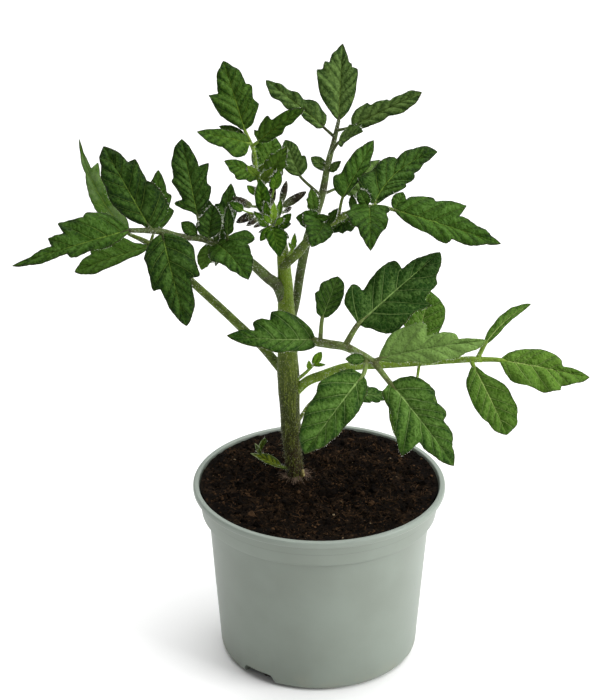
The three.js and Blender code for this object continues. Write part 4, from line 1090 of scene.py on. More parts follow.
BACK_RIGHT = dict(
    stalk_points=[
        (-14, 9, 164), (-11, 16, 174), (-8.9, 20, 187), (-5.5, 28, 201), (0.8, 38, 217), (4, 46, 231),
        (7, 52, 241), (9, 56, 249),
    ],
    stalk_radii=[1.9, 2, 2.1, 2.1, 1.8, 1.5, 1.2, 0.9],
    leaflets=[
        dict(
            base=(9, 56, 249), tip=(11, 76, 280), arch=-0.04, fold=0.25,
            left=[
                (0.13, 0.13), (0.32, 0.26), (0.5, 0.3), (0.67, 0.33), (0.58, 0.235), (0.76, 0.22),
                (0.74, 0.16), (0.82, 0.15), (0.9, 0.08),
            ],
            right=[
                (0.11, 0.11), (0.27, 0.18), (0.49, 0.21), (0.68, 0.21), (0.7, 0.14), (0.76, 0.14),
                (0.76, 0.09),
            ],
        ),
        dict(
            base=(2, 55, 246), tip=(-25, 64, 266), carried_from=(7, 53, 242), faces=(0.2, -0.8, 0.5),
            broad=1.1, wave=0.3,
            left=[(0.06, 0.08), (0.2, 0.07), (0.36, 0.07), (0.67, 0.12), (0.89, 0.09)],
            right=[
                (0.02, 0.07), (0.07, 0.14), (0.18, 0.17), (0.32, 0.16), (0.44, 0.11), (0.73, 0.07),
                (0.92, 0.04),
            ],
        ),
        dict(
            base=(15, 50, 248), tip=(47, 44, 267), carried_from=(7.5, 53, 245), faces=(-0.1, -0.7, 0.7),
            broad=1.1, arch=0.01, tone=0.55,
            left=[
                (0.03, 0.08), (0.12, 0.15), (0.3, 0.19), (0.32, 0.12), (0.56, 0.11), (0.57, 0.07),
                (0.85, 0.08),
            ],
            right=[(0.09, 0.06), (0.23, 0.1), (0.51, 0.09), (0.62, 0.12), (0.77, 0.12), (0.93, 0.06)],
        ),
        dict(
            base=(9, 46, 242), tip=(20, 38, 250), carried_from=(5, 48, 235), faces=(-0.2, -0.6, 0.75),
            left=[(0.15, 0.23), (0.42, 0.36), (0.66, 0.31), (0.89, 0.18)],
            right=[(0.05, 0.2), (0.11, 0.25), (0.38, 0.12), (0.6, 0.06)],
        ),
        dict(base=(4, 46, 228), tip=(-4, 50, 233), broad=1.2),
        dict(base=(5, 44, 228), tip=(10, 40, 235), left=SPEAR, right=SPEAR, broad=1.4),
        dict(
            base=(-9, 38, 228), tip=(-16, 46, 243), carried_from=(0, 38, 219), faces=(-0.1, -0.9, 0.45),
            broad=1.2,
            left=[(0.14, 0.16), (0.33, 0.24), (0.68, 0.17), (0.9, 0.09)],
            right=[(0.11, 0.2), (0.36, 0.27), (0.47, 0.3), (0.42, 0.18), (0.67, 0.2), (0.87, 0.13)],
        ),
        dict(
            base=(9, 44, 220), tip=(44, 52, 226), carried_from=(1, 40, 218), faces=SKYWARD, left=CUT,
            right=CUT,
        ),
    ],
)
PALE_DEEP = paint(34, 58, 18)
PALE_FRESH = paint(96, 122, 58)
PALE_VEIN = paint(124, 150, 66)
PALE_BELOW = paint(104, 130, 80)
DARK_RIM = paint(40, 34, 24)
pale_finishes = blade_finishes("pale_leaf", PALE_DEEP, PALE_FRESH, PALE_VEIN, PALE_BELOW, DARK_RIM, 0.6, 1.2, 0.12)
dark_stalk = stalk_skin("dark_stalk", paint(66, 82, 34), paint(50, 52, 28), paint(106, 120, 72))

back_right, back_right_hairs = grown_leaf("back_right_leaf", BACK_RIGHT, pale_finishes, dark_stalk)
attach(back_right, "root")
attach(back_right_hairs, "root")
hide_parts("leaf_back_right")


# Leaf at the upper right
# A compound leaf of the same build, which reaches right from just under the growing tip.

UPPER_RIGHT = dict(
    stalk_points=[
        (-17, 6, 196), (-10, 4, 204), (-6, 2, 210), (1, -1, 218), (8, -3, 223), (14, -4, 227),
        (20, -6, 230), (28, -8, 231), (33, -9, 230),
    ],
    stalk_radii=[2, 2.2, 2, 1.7, 1.5, 1.4, 1.2, 1, 0.8],
    leaflets=[
        dict(
            base=(2, -3, 221), tip=(-4, -21, 217), faces=(0.1, -0.75, 0.65), broad=1.25, arch=0.16,
            left=OVAL, tone=0.5,
            right=[(0.05, 0.2), (0.2, 0.42), (0.4, 0.42), (0.6, 0.28), (0.85, 0.14)],
        ),
        dict(
            base=(-2.6, -2, 225.5), tip=(-4.2, 0, 237), carried_from=(1, -2, 219), faces=FORWARD, left=TOOTHED,
            right=OVAL, tone=1.2,
        ),
        dict(
            base=(1, -4, 222), tip=(-11, -8, 226), faces=FORWARD, left=OVAL, right=OVAL, broad=1.5, fold=0.3,
            tone=0.9,
        ),
        dict(base=(-4, -6, 224.4), tip=(4.2, -7, 225.6), carried_from=(1, -3, 219), faces=FORWARD, tone=1),
        dict(base=(3, -3, 220), tip=(8, -4, 229), faces=FORWARD, left=TOOTHED, right=SPEAR),
        dict(
            base=(10, -2, 233), tip=(24, 10, 256), carried_from=(8, -3, 223), faces=(0.1, -0.9, 0.45),
            left=[(0.05, 0.17), (0.21, 0.29), (0.31, 0.2), (0.55, 0.2), (0.88, 0.09)],
            right=[(0.2, 0.06), (0.44, 0.09), (0.65, 0.13), (0.66, 0.1), (0.81, 0.08)],
        ),
        dict(
            base=(24, -6, 231), tip=(53, 14, 249), bow=-0.12, arch=0.01, tone=0.3,
            left=[
                (0.06, 0.17), (0.18, 0.3), (0.33, 0.21), (0.48, 0.2), (0.58, 0.17), (0.57, 0.12),
                (0.78, 0.13), (0.95, 0.07),
            ],
            right=[(0.16, 0.09), (0.38, 0.22), (0.4, 0.17), (0.56, 0.2), (0.6, 0.14), (0.8, 0.09)],
        ),
        dict(
            base=(22, -8, 231), tip=(22, -30, 219), faces=(0, -0.75, 0.65), arch=0.14,
            left=[(0.02, 0.22), (0.22, 0.38), (0.24, 0.28), (0.44, 0.33), (0.75, 0.15)],
            right=[(0.01, 0.2), (0.04, 0.42), (0.1, 0.3), (0.26, 0.44), (0.6, 0.23)],
        ),
        dict(base=(21, -7, 231), tip=(17, -9, 240), faces=FORWARD, broad=1.3),
        dict(base=(15, -5, 228), tip=(14, -6, 236), faces=FORWARD),
        dict(
            base=(33, -9, 230), tip=(80, -22, 219), faces=SKYWARD, broad=1.1, arch=0.02, tone=0.9,
            left=[
                (0.04, 0.06), (0.08, 0.13), (0.16, 0.17), (0.28, 0.21), (0.32, 0.17), (0.6, 0.23),
                (0.56, 0.11), (0.76, 0.08), (0.89, 0.04),
            ],
            right=[(0.19, 0.09), (0.38, 0.13), (0.56, 0.16), (0.57, 0.11), (0.71, 0.11), (0.88, 0.05)],
        ),
        dict(base=(33, -9, 230), tip=(37, -5, 237), faces=FORWARD, broad=1.6),
        dict(
            base=(17, -3, 225), tip=(3.3, 2, 215), carried_from=(18, -5, 228.6), faces=FORWARD, left=CUT,
            right=TOOTHED, tone=0.1,
        ),
    ],
)
MATURE_DEEP = paint(16, 40, 3)
MATURE_FRESH = paint(58, 92, 22)
MATURE_VEIN = paint(112, 140, 56)
MATURE_BELOW = paint(96, 122, 70)
mature_finishes = blade_finishes(
    "mature_leaf", MATURE_DEEP, MATURE_FRESH, MATURE_VEIN, MATURE_BELOW, DARK_RIM, 0.75, 1.15, 0.14, 1.1
)
green_stalk = stalk_skin("green_stalk", paint(84, 104, 30), paint(60, 72, 24), paint(126, 144, 68))

upper_right, upper_right_hairs = grown_leaf("upper_right_leaf", UPPER_RIGHT, mature_finishes, green_stalk)
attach(upper_right, "root")
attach(upper_right_hairs, "root")
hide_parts("leaf_upper_right")


# Leaf at the left front
# A compound leaf of the same build, which reaches left and forward and has the longest end leaflet.

LEFT_FRONT = dict(
    stalk_points=[
        (-16.8, 7.4, 177), (-19.2, 5.8, 186.5), (-24, 3, 192), (-31, -2, 201), (-41, -8, 210),
        (-52, -14, 218), (-63, -18, 221), (-71, -22, 225), (-84, -28, 228),
    ],
    stalk_radii=[2.2, 2.8, 2.5, 2.3, 1.8, 1.6, 1.5, 1.5, 1.1],
    leaflets=[
        dict(
            base=(-46, -13, 215), tip=(-32, -32, 206), faces=(0.15, -0.7, 0.65), arch=0.12, tone=0.45,
            left=[(0.04, 0.3), (0.17, 0.52), (0.43, 0.6), (0.42, 0.36), (0.62, 0.32), (0.84, 0.2)],
            right=[(0.04, 0.2), (0.17, 0.28), (0.45, 0.37), (0.46, 0.24), (0.81, 0.12)],
        ),
        dict(
            base=(-55, -8, 227), tip=(-62, 6, 258), carried_from=(-53, -14, 219), faces=(0, -0.9, 0.45), tone=0.15,
            left=[
                (0.07, 0.07), (0.25, 0.31), (0.21, 0.13), (0.39, 0.19), (0.49, 0.24), (0.52, 0.2),
                (0.64, 0.2), (0.8, 0.16), (0.94, 0.08),
            ],
            right=[
                (0.09, 0.07), (0.16, 0.18), (0.34, 0.26), (0.36, 0.2), (0.48, 0.22), (0.64, 0.29),
                (0.6, 0.14), (0.71, 0.13), (0.84, 0.09),
            ],
        ),
        dict(base=(-55, -16, 221), tip=(-62, -16, 227), faces=FORWARD, broad=1.4),
        dict(
            base=(-46, -11, 215), tip=(-40, -2, 240), faces=(0.2, -0.8, 0.5), left=CUT, right=OVAL,
            broad=0.85, fold=0.3, tone=0.3,
        ),
        dict(base=(-50, -12, 218), tip=(-52, 3, 232), faces=FORWARD, left=TOOTHED, right=TOOTHED),
        dict(base=(-47, -13, 217), tip=(-45.5, -17, 222), faces=FORWARD, broad=0.9),
        dict(
            base=(-50, -16, 219.4), tip=(-47.7, -15, 235), carried_from=(-49, -12.4, 216.5), faces=FORWARD,
            left=TOOTHED, right=OVAL, broad=1.5, fold=0.35, tone=0.1,
        ),
        dict(
            base=(-41.5, -16, 220.5), tip=(-41, -15, 234.5), carried_from=(-42, -9, 211.5), faces=FORWARD,
            left=SPEAR, right=TOOTHED, broad=0.9, fold=0.3, tone=0.1,
        ),
        dict(
            base=(-48.6, -11, 215), tip=(-53.4, -14, 203), carried_from=(-46, -10.6, 213.6), faces=SLANTED,
            left=CUT, right=OVAL, broad=1.3, tone=1.3,
        ),
        dict(
            base=(-43.5, -13, 214), tip=(-47, -17, 206), carried_from=(-42, -8.6, 210.8), faces=SLANTED,
            left=SPEAR, right=TOOTHED, broad=0.9, tone=0.4,
        ),
        dict(
            base=(-70, -22, 224), tip=(-59, -46, 190), faces=(-0.1, -0.85, 0.5), arch=0.1, stalk_radius=1.1,
            tone=0.2,
            left=[
                (0.1, 0.16), (0.22, 0.28), (0.37, 0.27), (0.58, 0.285), (0.53, 0.16), (0.65, 0.17),
                (0.78, 0.15), (0.93, 0.08),
            ],
            right=[
                (0.07, 0.15), (0.22, 0.24), (0.3, 0.22), (0.44, 0.23), (0.59, 0.22), (0.57, 0.15),
                (0.72, 0.12), (0.9, 0.07),
            ],
        ),
        dict(
            base=(-75, -23, 226), tip=(-96, -6, 259), faces=(0, -0.9, 0.45), arch=0.05, tone=0.05,
            stalk_radius=1.1,
            left=[(0.1, 0.05), (0.22, 0.15), (0.4, 0.21), (0.63, 0.19), (0.84, 0.12), (0.95, 0.06)],
            right=[
                (0.02, 0.16), (0.15, 0.29), (0.33, 0.29), (0.45, 0.21), (0.6, 0.22), (0.72, 0.22),
                (0.72, 0.14), (0.88, 0.09),
            ],
        ),
        dict(
            base=(-84, -28, 228), tip=(-135, -40, 216), faces=SKYWARD, broad=1.12, arch=0.02,
            left=[(0.13, 0.07), (0.3, 0.08), (0.53, 0.08), (0.54, 0.04), (0.72, 0.05), (0.88, 0.04)],
            right=[
                (0.05, 0.08), (0.13, 0.18), (0.31, 0.22), (0.33, 0.19), (0.55, 0.21), (0.51, 0.11),
                (0.66, 0.12), (0.64, 0.05), (0.84, 0.02),
            ],
        ),
    ],
)
left_front, left_front_hairs = grown_leaf("left_front_leaf", LEFT_FRONT, mature_finishes, dark_stalk)
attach(left_front, "root")
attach(left_front_hairs, "root")
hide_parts("leaf_left_front")


# Leaf at the left back
# A compound leaf of the same build, on a long bare stalk behind the left front leaf.

LEFT_BACK = dict(
    stalk_points=[
        (-16, 9, 140), (-27, 14, 152), (-34, 18, 157.2), (-46, 24, 166.8), (-58, 30, 176),
        (-70, 36, 185), (-80, 40, 193), (-90, 43, 197),
    ],
    stalk_radii=[2.3, 2.1, 2.1, 2, 1.9, 1.7, 1.4, 0.9],
    leaflets=[
        dict(
            base=(-80, 39, 192), tip=(-115, 30, 183), faces=(0, -0.6, 0.8), broad=1.15, tone=1.1,
            left=[(0.08, 0.04), (0.26, 0.07), (0.52, 0.1), (0.71, 0.12), (0.88, 0.09)],
            right=[(0.18, 0.1), (0.28, 0.2), (0.38, 0.21), (0.73, 0.18), (0.72, 0.13), (0.9, 0.07)],
        ),
        dict(
            base=(-90, 43, 197), tip=(-113, 58, 239), faces=(-0.2, -0.85, 0.5), bow=-0.07, turned_over=True,
            left=[(0.1, 0.08), (0.29, 0.1), (0.54, 0.07), (0.68, 0.03), (0.87, 0.02)],
            right=[(0.1, 0.08), (0.4, 0.08), (0.6, 0.09), (0.74, 0.115), (0.7, 0.03), (0.87, 0.01)],
        ),
        dict(
            base=(-78, 41, 199), tip=(-76, 54, 225), carried_from=(-80, 40, 193),
            faces=(0.3, -0.85, 0.4), left=CUT, right=CUT,
        ),
    ],
)
left_back, left_back_hairs = grown_leaf("left_back_leaf", LEFT_BACK, mature_finishes, green_stalk)
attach(left_back, "root")
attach(left_back_hairs, "root")
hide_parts("leaf_left_back")


# Leaf at the front on the right
# The oldest leaf in front of the stem. Its blades are a brighter green, with pale midribs and side veins.

FRONT_RIGHT = dict(
    stalk_points=[
        (-14, 6, 164), (-9, -6, 167), (-4, -14, 168), (4, -22, 170), (11, -27, 171), (18, -33, 170),
        (25, -38, 168),
    ],
    stalk_radii=[1.7, 2, 2.1, 2, 1.9, 1.8, 1.5],
    leaflets=[
        dict(
            base=(-2, -15, 169), tip=(-42, -24, 175), faces=(0, -0.7, 0.7), bow=-0.05, arch=0.08, tone=0.35,
            left=[
                (0.03, 0.08), (0.17, 0.13), (0.35, 0.13), (0.45, 0.16), (0.55, 0.13), (0.63, 0.1),
                (0.88, 0.06),
            ],
            right=[
                (0.04, 0.11), (0.18, 0.28), (0.3, 0.31), (0.5, 0.31), (0.51, 0.23), (0.74, 0.18),
                (0.69, 0.09), (0.88, 0.07),
            ],
        ),
        dict(
            base=(1, -18, 181), tip=(8, -10, 198), carried_from=(0, -19, 169), faces=(0, -0.9, 0.45), tone=0.3,
            stalk_radius=1.1,
            left=[(0.06, 0.15), (0.3, 0.26), (0.47, 0.36), (0.53, 0.29), (0.72, 0.3), (0.85, 0.17)],
            right=[(0.13, 0.16), (0.42, 0.27), (0.77, 0.24), (0.95, 0.13)],
        ),
        dict(
            base=(17, -27, 182), tip=(54, -8, 209), carried_from=(11, -27, 171), stalk_radius=1.45, tone=-0.45,
            left=[
                (0.02, 0.1), (0.03, 0.22), (0.13, 0.29), (0.24, 0.31), (0.22, 0.18), (0.42, 0.24),
                (0.56, 0.24), (0.65, 0.19), (0.62, 0.11), (0.86, 0.07),
            ],
            right=[
                (0.07, 0.12), (0.09, 0.18), (0.18, 0.28), (0.44, 0.27), (0.6, 0.31), (0.58, 0.23),
                (0.78, 0.2), (0.8, 0.15), (0.95, 0.07),
            ],
        ),
        # This skyward leaflet's tone above 1 paints a silvery sheen on it
        dict(
            base=(26, -38, 170), tip=(73, -46, 183), carried_from=(23, -37, 168), faces=SKYWARD, tone=1.7,
            stalk_radius=1.2,
            left=[
                (0.08, 0.12), (0.14, 0.2), (0.31, 0.26), (0.5, 0.22), (0.45, 0.11), (0.59, 0.13),
                (0.73, 0.1), (0.75, 0.04), (0.88, 0.03),
            ],
            right=[(0.14, 0.06), (0.31, 0.1), (0.54, 0.15), (0.8, 0.11), (0.91, 0.08)],
        ),
        dict(
            base=(31, -46, 162), tip=(59, -66, 131), carried_from=(24, -37, 168), stalk_radius=1.45,
            arch=0.1, tone=0.4,
            left=[
                (0.03, 0.1), (0.08, 0.19), (0.18, 0.25), (0.35, 0.29), (0.38, 0.21), (0.56, 0.24),
                (0.6, 0.17), (0.71, 0.17), (0.84, 0.1),
            ],
            right=[(0.03, 0.12), (0.24, 0.17), (0.4, 0.27), (0.64, 0.36), (0.62, 0.14), (0.92, 0.06)],
        ),
        dict(
            base=(19, -44, 165), tip=(-7, -62, 135), carried_from=(21, -35, 169), stalk_radius=1.2,
            arch=0.1, tone=0.3,
            left=[(0.08, 0.11), (0.21, 0.17), (0.35, 0.19), (0.58, 0.17), (0.73, 0.15), (0.88, 0.08)],
            right=[
                (0.03, 0.13), (0.15, 0.23), (0.37, 0.3), (0.43, 0.26), (0.67, 0.23), (0.85, 0.16),
                (0.95, 0.1),
            ],
        ),
        dict(base=(20, -36, 169), tip=(11, -40, 171), faces=FORWARD, broad=1.1),
    ],
)
LOWER_DEEP = paint(24, 54, 5)
LOWER_FRESH = paint(74, 108, 34)
LOWER_VEIN = paint(134, 162, 92)
LOWER_BELOW = paint(106, 134, 76)
LOWER_RIM = paint(52, 54, 24)
lower_finishes = blade_finishes(
    "lower_leaf", LOWER_DEEP, LOWER_FRESH, LOWER_VEIN, LOWER_BELOW, LOWER_RIM, 0.9, 1.25, 0.16, 1.3
)

olive_stalk = stalk_skin("olive_stalk", paint(96, 116, 54), paint(74, 78, 40), paint(144, 156, 108))
front_right, front_right_hairs = grown_leaf("front_right_leaf", FRONT_RIGHT, lower_finishes, olive_stalk)
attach(front_right, "root")
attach(front_right_hairs, "root")
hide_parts("leaf_front_right")


# Leaf at the lower right
# A compound leaf of the same build on a long stalk, which reaches far right behind the front one.

LOWER_RIGHT = dict(
    stalk_points=[
        (-12, 8, 130), (-6, 7, 137), (2, 4, 142), (13, 0, 148), (28, -4, 151), (45, -8, 154),
        (60, -12, 157), (70, -15, 159), (74, -16, 159),
    ],
    stalk_radii=[2.1, 2.3, 2.3, 2.1, 1.9, 1.7, 1.5, 1.5, 1.1],
    leaflets=[
        dict(
            base=(82, -18, 160), tip=(122, -28, 156), carried_from=(72, -15, 159), stalk_radius=1.3,
            faces=SKYWARD, broad=1.1, arch=0.02,
            left=[
                (0.06, 0.07), (0.14, 0.12), (0.24, 0.16), (0.49, 0.18), (0.67, 0.11), (0.68, 0.05),
                (0.85, 0.05),
            ],
            right=[
                (0.08, 0.11), (0.16, 0.19), (0.26, 0.23), (0.63, 0.26), (0.73, 0.2), (0.71, 0.15),
                (0.89, 0.09),
            ],
        ),
        dict(
            base=(70, -17, 157), tip=(85, -34, 130), carried_from=(69, -14, 159), arch=0.08, stalk_radius=1.2,
            tone=0.2,
            left=[(0.1, 0.05), (0.18, 0.08), (0.39, 0.23), (0.58, 0.27), (0.88, 0.21), (0.97, 0.1)],
            right=[(0.08, 0.1), (0.2, 0.21), (0.5, 0.24), (0.76, 0.16), (0.92, 0.1)],
        ),
        dict(
            base=(75, -14, 165.5), tip=(97, 0, 180), carried_from=(72, -15, 159), faces=(0.5, -0.6, 0.6),
            bow=-0.07, stalk_radius=1.2, tone=0.3,
            left=[(0.16, 0.08), (0.34, 0.1), (0.57, 0.11), (0.78, 0.08)],
            right=[(0.22, 0.06), (0.4, 0.05), (0.6, 0.04), (0.79, 0.04)],
        ),
        dict(
            base=(45, -11, 148), tip=(39, -30, 118), carried_from=(46, -8, 154), faces=(0, -0.85, 0.5),
            left=CUT, right=[(0.08, 0.16), (0.3, 0.29), (0.55, 0.25), (0.82, 0.12)], broad=1.1, arch=0.08,
            tone=0.9,
        ),
        dict(
            base=(45, -4, 163), tip=(51, 10, 182), carried_from=(46, -8, 155), faces=(0, -0.85, 0.5),
            broad=1.4, left=TOOTHED, right=[(0.1, 0.2), (0.4, 0.28), (0.75, 0.25)], tone=0.3,
        ),
    ],
)
FAR_DEEP = paint(42, 74, 10)
FAR_FRESH = paint(88, 122, 38)
FAR_VEIN = paint(160, 182, 104)
far_finishes = blade_finishes("far_leaf", FAR_DEEP, FAR_FRESH, FAR_VEIN, LOWER_BELOW, LOWER_RIM, 0.8, 0.8, 0.08, 1.4)
bright_stalk = stalk_skin("bright_stalk", paint(108, 136, 40), paint(84, 106, 32), paint(150, 172, 86))

lower_right, lower_right_hairs = grown_leaf("lower_right_leaf", LOWER_RIGHT, far_finishes, bright_stalk)
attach(lower_right, "root")
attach(lower_right_hairs, "root")
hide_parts("leaf_lower_right")


# Small leaf low at the back
# A small shaded leaf of two blades, low behind the others.

LOW_BACK = dict(
    stalk_points=[(-12, 8, 112), (-3, 18, 121), (5, 24, 120), (16, 30, 119)],
    stalk_radii=[0.9, 0.9, 0.8, 0.7],
    leaflets=[
        dict(
            base=(16, 30, 119), tip=(36, 38, 113), faces=(0, -0.6, 0.8), left=CUT, right=CUT, broad=0.8,
            tone=-0.2,
        ),
        dict(base=(10, 27, 120), tip=(14, 40, 124), faces=(0, -0.3, 0.9)),
    ],
)
low_back, low_back_hairs = grown_leaf("low_back_leaf", LOW_BACK, lower_finishes, green_stalk)
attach(low_back, "root")
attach(low_back_hairs, "root")
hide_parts("leaf_low_back")


# Top leaf
# The youngest full leaf, which stands up at the growing tip on a bright yellow-green stalk.

TOP = dict(
    stalk_points=[
        (-22, 7, 222), (-26, 7, 228), (-27, 9, 235), (-29, 12, 242), (-30, 15, 249), (-34, 20, 257),
    ],
    stalk_radii=[1.3, 1.4, 1.2, 1, 0.9, 0.8],
    leaflets=[
        dict(
            base=(-34, 20, 257), tip=(-44, 38, 284), faces=(0, -0.9, 0.45), tone=0.2,
            left=[
                (0.1, 0.09), (0.29, 0.25), (0.6, 0.33), (0.57, 0.19), (0.67, 0.18), (0.79, 0.15),
                (0.93, 0.06),
            ],
            right=[
                (0.03, 0.06), (0.07, 0.16), (0.14, 0.17), (0.29, 0.29), (0.34, 0.22), (0.55, 0.27),
                (0.59, 0.19), (0.72, 0.19), (0.87, 0.11),
            ],
        ),
        dict(
            base=(-28, 14, 254), tip=(-7, 8, 272), carried_from=(-31, 16, 251),
            left=[
                (0.02, 0.12), (0.08, 0.25), (0.08, 0.09), (0.21, 0.21), (0.43, 0.26), (0.4, 0.13),
                (0.75, 0.12),
            ],
            right=[(0.11, 0.08), (0.25, 0.12), (0.43, 0.14), (0.58, 0.08), (0.8, 0.08)],
        ),
        dict(
            base=(-32, 14, 253), tip=(-55, 2, 263), faces=(0, -0.75, 0.65),
            left=[(0.12, 0.23), (0.26, 0.32), (0.41, 0.28), (0.54, 0.18), (0.73, 0.18)],
            right=[(0.07, 0.13), (0.34, 0.12), (0.57, 0.11), (0.79, 0.07)],
        ),
        dict(base=(-34, 20, 255), tip=(-46, 26, 257), faces=FORWARD, left=SPEAR, right=SPEAR),
        dict(
            base=(-28, 10, 239), tip=(-43, 0, 250), faces=SLANTED,
            left=[(0.08, 0.07), (0.2, 0.22), (0.36, 0.2), (0.54, 0.29), (0.72, 0.21)],
            right=[(0.3, 0.16), (0.34, 0.08), (0.5, 0.13), (0.75, 0.11)],
        ),
        dict(base=(-28, 12, 239), tip=(-20, 24, 252), faces=FORWARD, broad=1.6),
        dict(
            base=(-23, 7, 240), tip=(-15, 2, 256), carried_from=(-27, 8.5, 233), faces=FORWARD,
            left=CUT, right=CUT, tone=1.1,
        ),
        dict(base=(-27, 8, 231), tip=(-33, 3, 237), faces=FORWARD, left=SPEAR, right=SPEAR),
        dict(base=(-26, 7, 228), tip=(-27, 4, 239), faces=FORWARD),
        dict(base=(-28, 9, 238), tip=(-33, 5, 246), faces=FORWARD, left=CUT, right=TOOTHED, tone=1.9),
        dict(base=(-26, 8, 237), tip=(-21, 4, 245), faces=FORWARD, left=TOOTHED, right=CUT, tone=2),
        dict(base=(-28, 10, 241), tip=(-25, 6, 246), faces=FORWARD, left=SPEAR, right=SPEAR, tone=1.7),
    ],
)
YOUNG_DEEP = paint(22, 50, 3)
YOUNG_FRESH = paint(66, 98, 24)
YOUNG_VEIN = paint(124, 152, 52)
YOUNG_BELOW = paint(102, 130, 66)
young_finishes = blade_finishes("young_leaf", YOUNG_DEEP, YOUNG_FRESH, YOUNG_VEIN, YOUNG_BELOW, DARK_RIM, 0.75)

top_leaf, top_leaf_hairs = grown_leaf("top_leaf", TOP, young_finishes, bright_stalk, hairiness=9)
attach(top_leaf, "root")
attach(top_leaf_hairs, "root")
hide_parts("leaf_top")


# Youngest leaves
# Small leaves that face forward at the growing tip, thick with hairs.

YOUNG_FRONT = dict(
    stalk_points=[(-19, 7, 213), (-21, 1, 217), (-22, -3, 218)],
    stalk_radii=[0.9, 0.9, 0.8],
    leaflets=[
        dict(
            base=(-21.5, -3.5, 219.5), tip=(-18.3, -11, 208), faces=(0, -0.7, 0.7), fold=0.2, tone=-0.2,
            left=[(0.05, 0.12), (0.2, 0.3), (0.38, 0.38), (0.6, 0.33), (0.82, 0.16)],
            right=[(0.04, 0.2), (0.2, 0.3), (0.45, 0.27), (0.75, 0.14)],
        ),
        dict(base=(-21, -1, 218), tip=(-28, -4, 217), faces=SLANTED, left=SPEAR, right=SPEAR, tone=0.3),
        dict(base=(-21, -1, 218), tip=(-13, -3, 221), faces=SLANTED, tone=0.1),
        dict(
            base=(-26, -1, 225), tip=(-27.3, -2, 242), carried_from=(-21.5, 4, 222), faces=FORWARD, broad=1.1,
            left=SPEAR, right=OVAL, fold=0.3, tone=0,
        ),
        dict(base=(-28, -1, 234), tip=(-33, -2, 239), carried_from=(-26, -1, 229), faces=FORWARD, tone=0.4),
        dict(
            base=(-21, 0, 236), tip=(-18.5, -1, 246), carried_from=(-22.5, 4, 228), faces=FORWARD, tone=0.5,
            left=TOOTHED, right=OVAL, broad=1.1,
        ),
        dict(
            base=(-21.5, -3, 222), tip=(-20.6, -4.5, 232), carried_from=(-21, 4, 219), faces=FORWARD, tone=2,
            left=TOOTHED, right=TOOTHED, broad=0.8,
        ),
        dict(
            base=(-24.2, -3, 224), tip=(-24.6, -4.5, 233), carried_from=(-21, 4, 220), faces=FORWARD,
            left=SPEAR, right=TOOTHED, fold=0.4, tone=0.5,
        ),
        dict(
            base=(-18.5, -2, 224), tip=(-17.6, -3, 233.5), carried_from=(-20.5, 4, 219), faces=FORWARD,
            left=TOOTHED, right=SPEAR, broad=0.8, fold=0.4, tone=0.9,
        ),
        dict(base=(-18, -1, 219), tip=(-13, -3, 226), carried_from=(-20, 5, 217), faces=FORWARD, tone=0.2),
        dict(
            base=(-23.5, -3, 219.5), tip=(-30, -5, 228), carried_from=(-21, 4, 218), faces=FORWARD, left=CUT,
            right=CUT, broad=0.8, tone=0.4,
        ),
        dict(
            base=(-34.5, -7, 229), tip=(-41, -9, 234), carried_from=(-24, 1, 222), faces=FORWARD, left=TOOTHED,
            right=TOOTHED, stalk_radius=0.6, tone=-0.3,
        ),
        dict(base=(-22.5, -4, 220), tip=(-27, -7, 214), carried_from=(-21, 2, 218), faces=SLANTED, tone=0.4),
        dict(base=(-20, -3, 218), tip=(-14, -6, 215), carried_from=(-20.5, 3, 216), faces=SLANTED, tone=0.6),
        dict(
            base=(-22.5, -4.4, 222), tip=(-25.5, -6, 226.5), carried_from=(-21.5, 2, 219), faces=FORWARD, tone=1.2,
        ),
        dict(
            base=(-19.8, -4.4, 221), tip=(-16.5, -6, 225.5), carried_from=(-20.5, 2, 218), faces=FORWARD, tone=1.1,
        ),
    ],
)
TIP_DEEP = paint(30, 64, 3)
TIP_FRESH = paint(92, 134, 26)
TIP_VEIN = paint(140, 172, 60)
tip_finishes = blade_finishes("tip_leaf", TIP_DEEP, TIP_FRESH, TIP_VEIN, YOUNG_BELOW, DARK_RIM, 0.6)

young_front, young_front_hairs = grown_leaf(
    "young_front_leaves", YOUNG_FRONT, tip_finishes, bright_stalk, hairiness=30
)
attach(young_front, "root")
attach(young_front_hairs, "root")
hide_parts("leaf_young_front")


# Flower truss
# Closed buds on thin stalks round the growing tip: each is wrapped in five dark, hairy sepals with a
# ridge along each, whose points part at the end.

TRUSS_STALK = [(-20, 7, 217), (-21, 2, 222), (-21, 0, 226)]
BUD_LINES = [
    dict(foot=(-25, 1, 227), waist=(-31, -2, 229), tip=(-39.4, -6, 234.8), radius=1.6),
    dict(foot=(-24, 0, 225), waist=(-30, -3, 225.6), tip=(-37.6, -7, 223.2), radius=1.6),
    dict(foot=(-23, 0, 224), waist=(-28, -4, 224), tip=(-33, -9, 222.4), radius=1.1),
    dict(foot=(-21, 2, 224), waist=(-22.9, 3, 227.6), tip=(-20.8, 4, 236.8), radius=1.7),
    dict(foot=(-20, 2, 225), waist=(-17.6, 4, 228.4), tip=(-15.2, 8, 237.2), radius=1.3),
    dict(foot=(-20, 1, 225), waist=(-16.6, 1, 227.9), tip=(-6.4, 2, 234.4), radius=1.6),
    dict(foot=(-21, 1, 222), waist=(-26, -2, 221), tip=(-30, -5, 220), radius=0.8),
    dict(foot=(-20, 1, 224), waist=(-16, 0, 225.5), tip=(-13, -0.6, 228), radius=0.9),
]
BUD_GREEN = paint(90, 106, 56)
BUD_DARK = paint(26, 23, 18)
BUD_BROWN = paint(54, 49, 36)

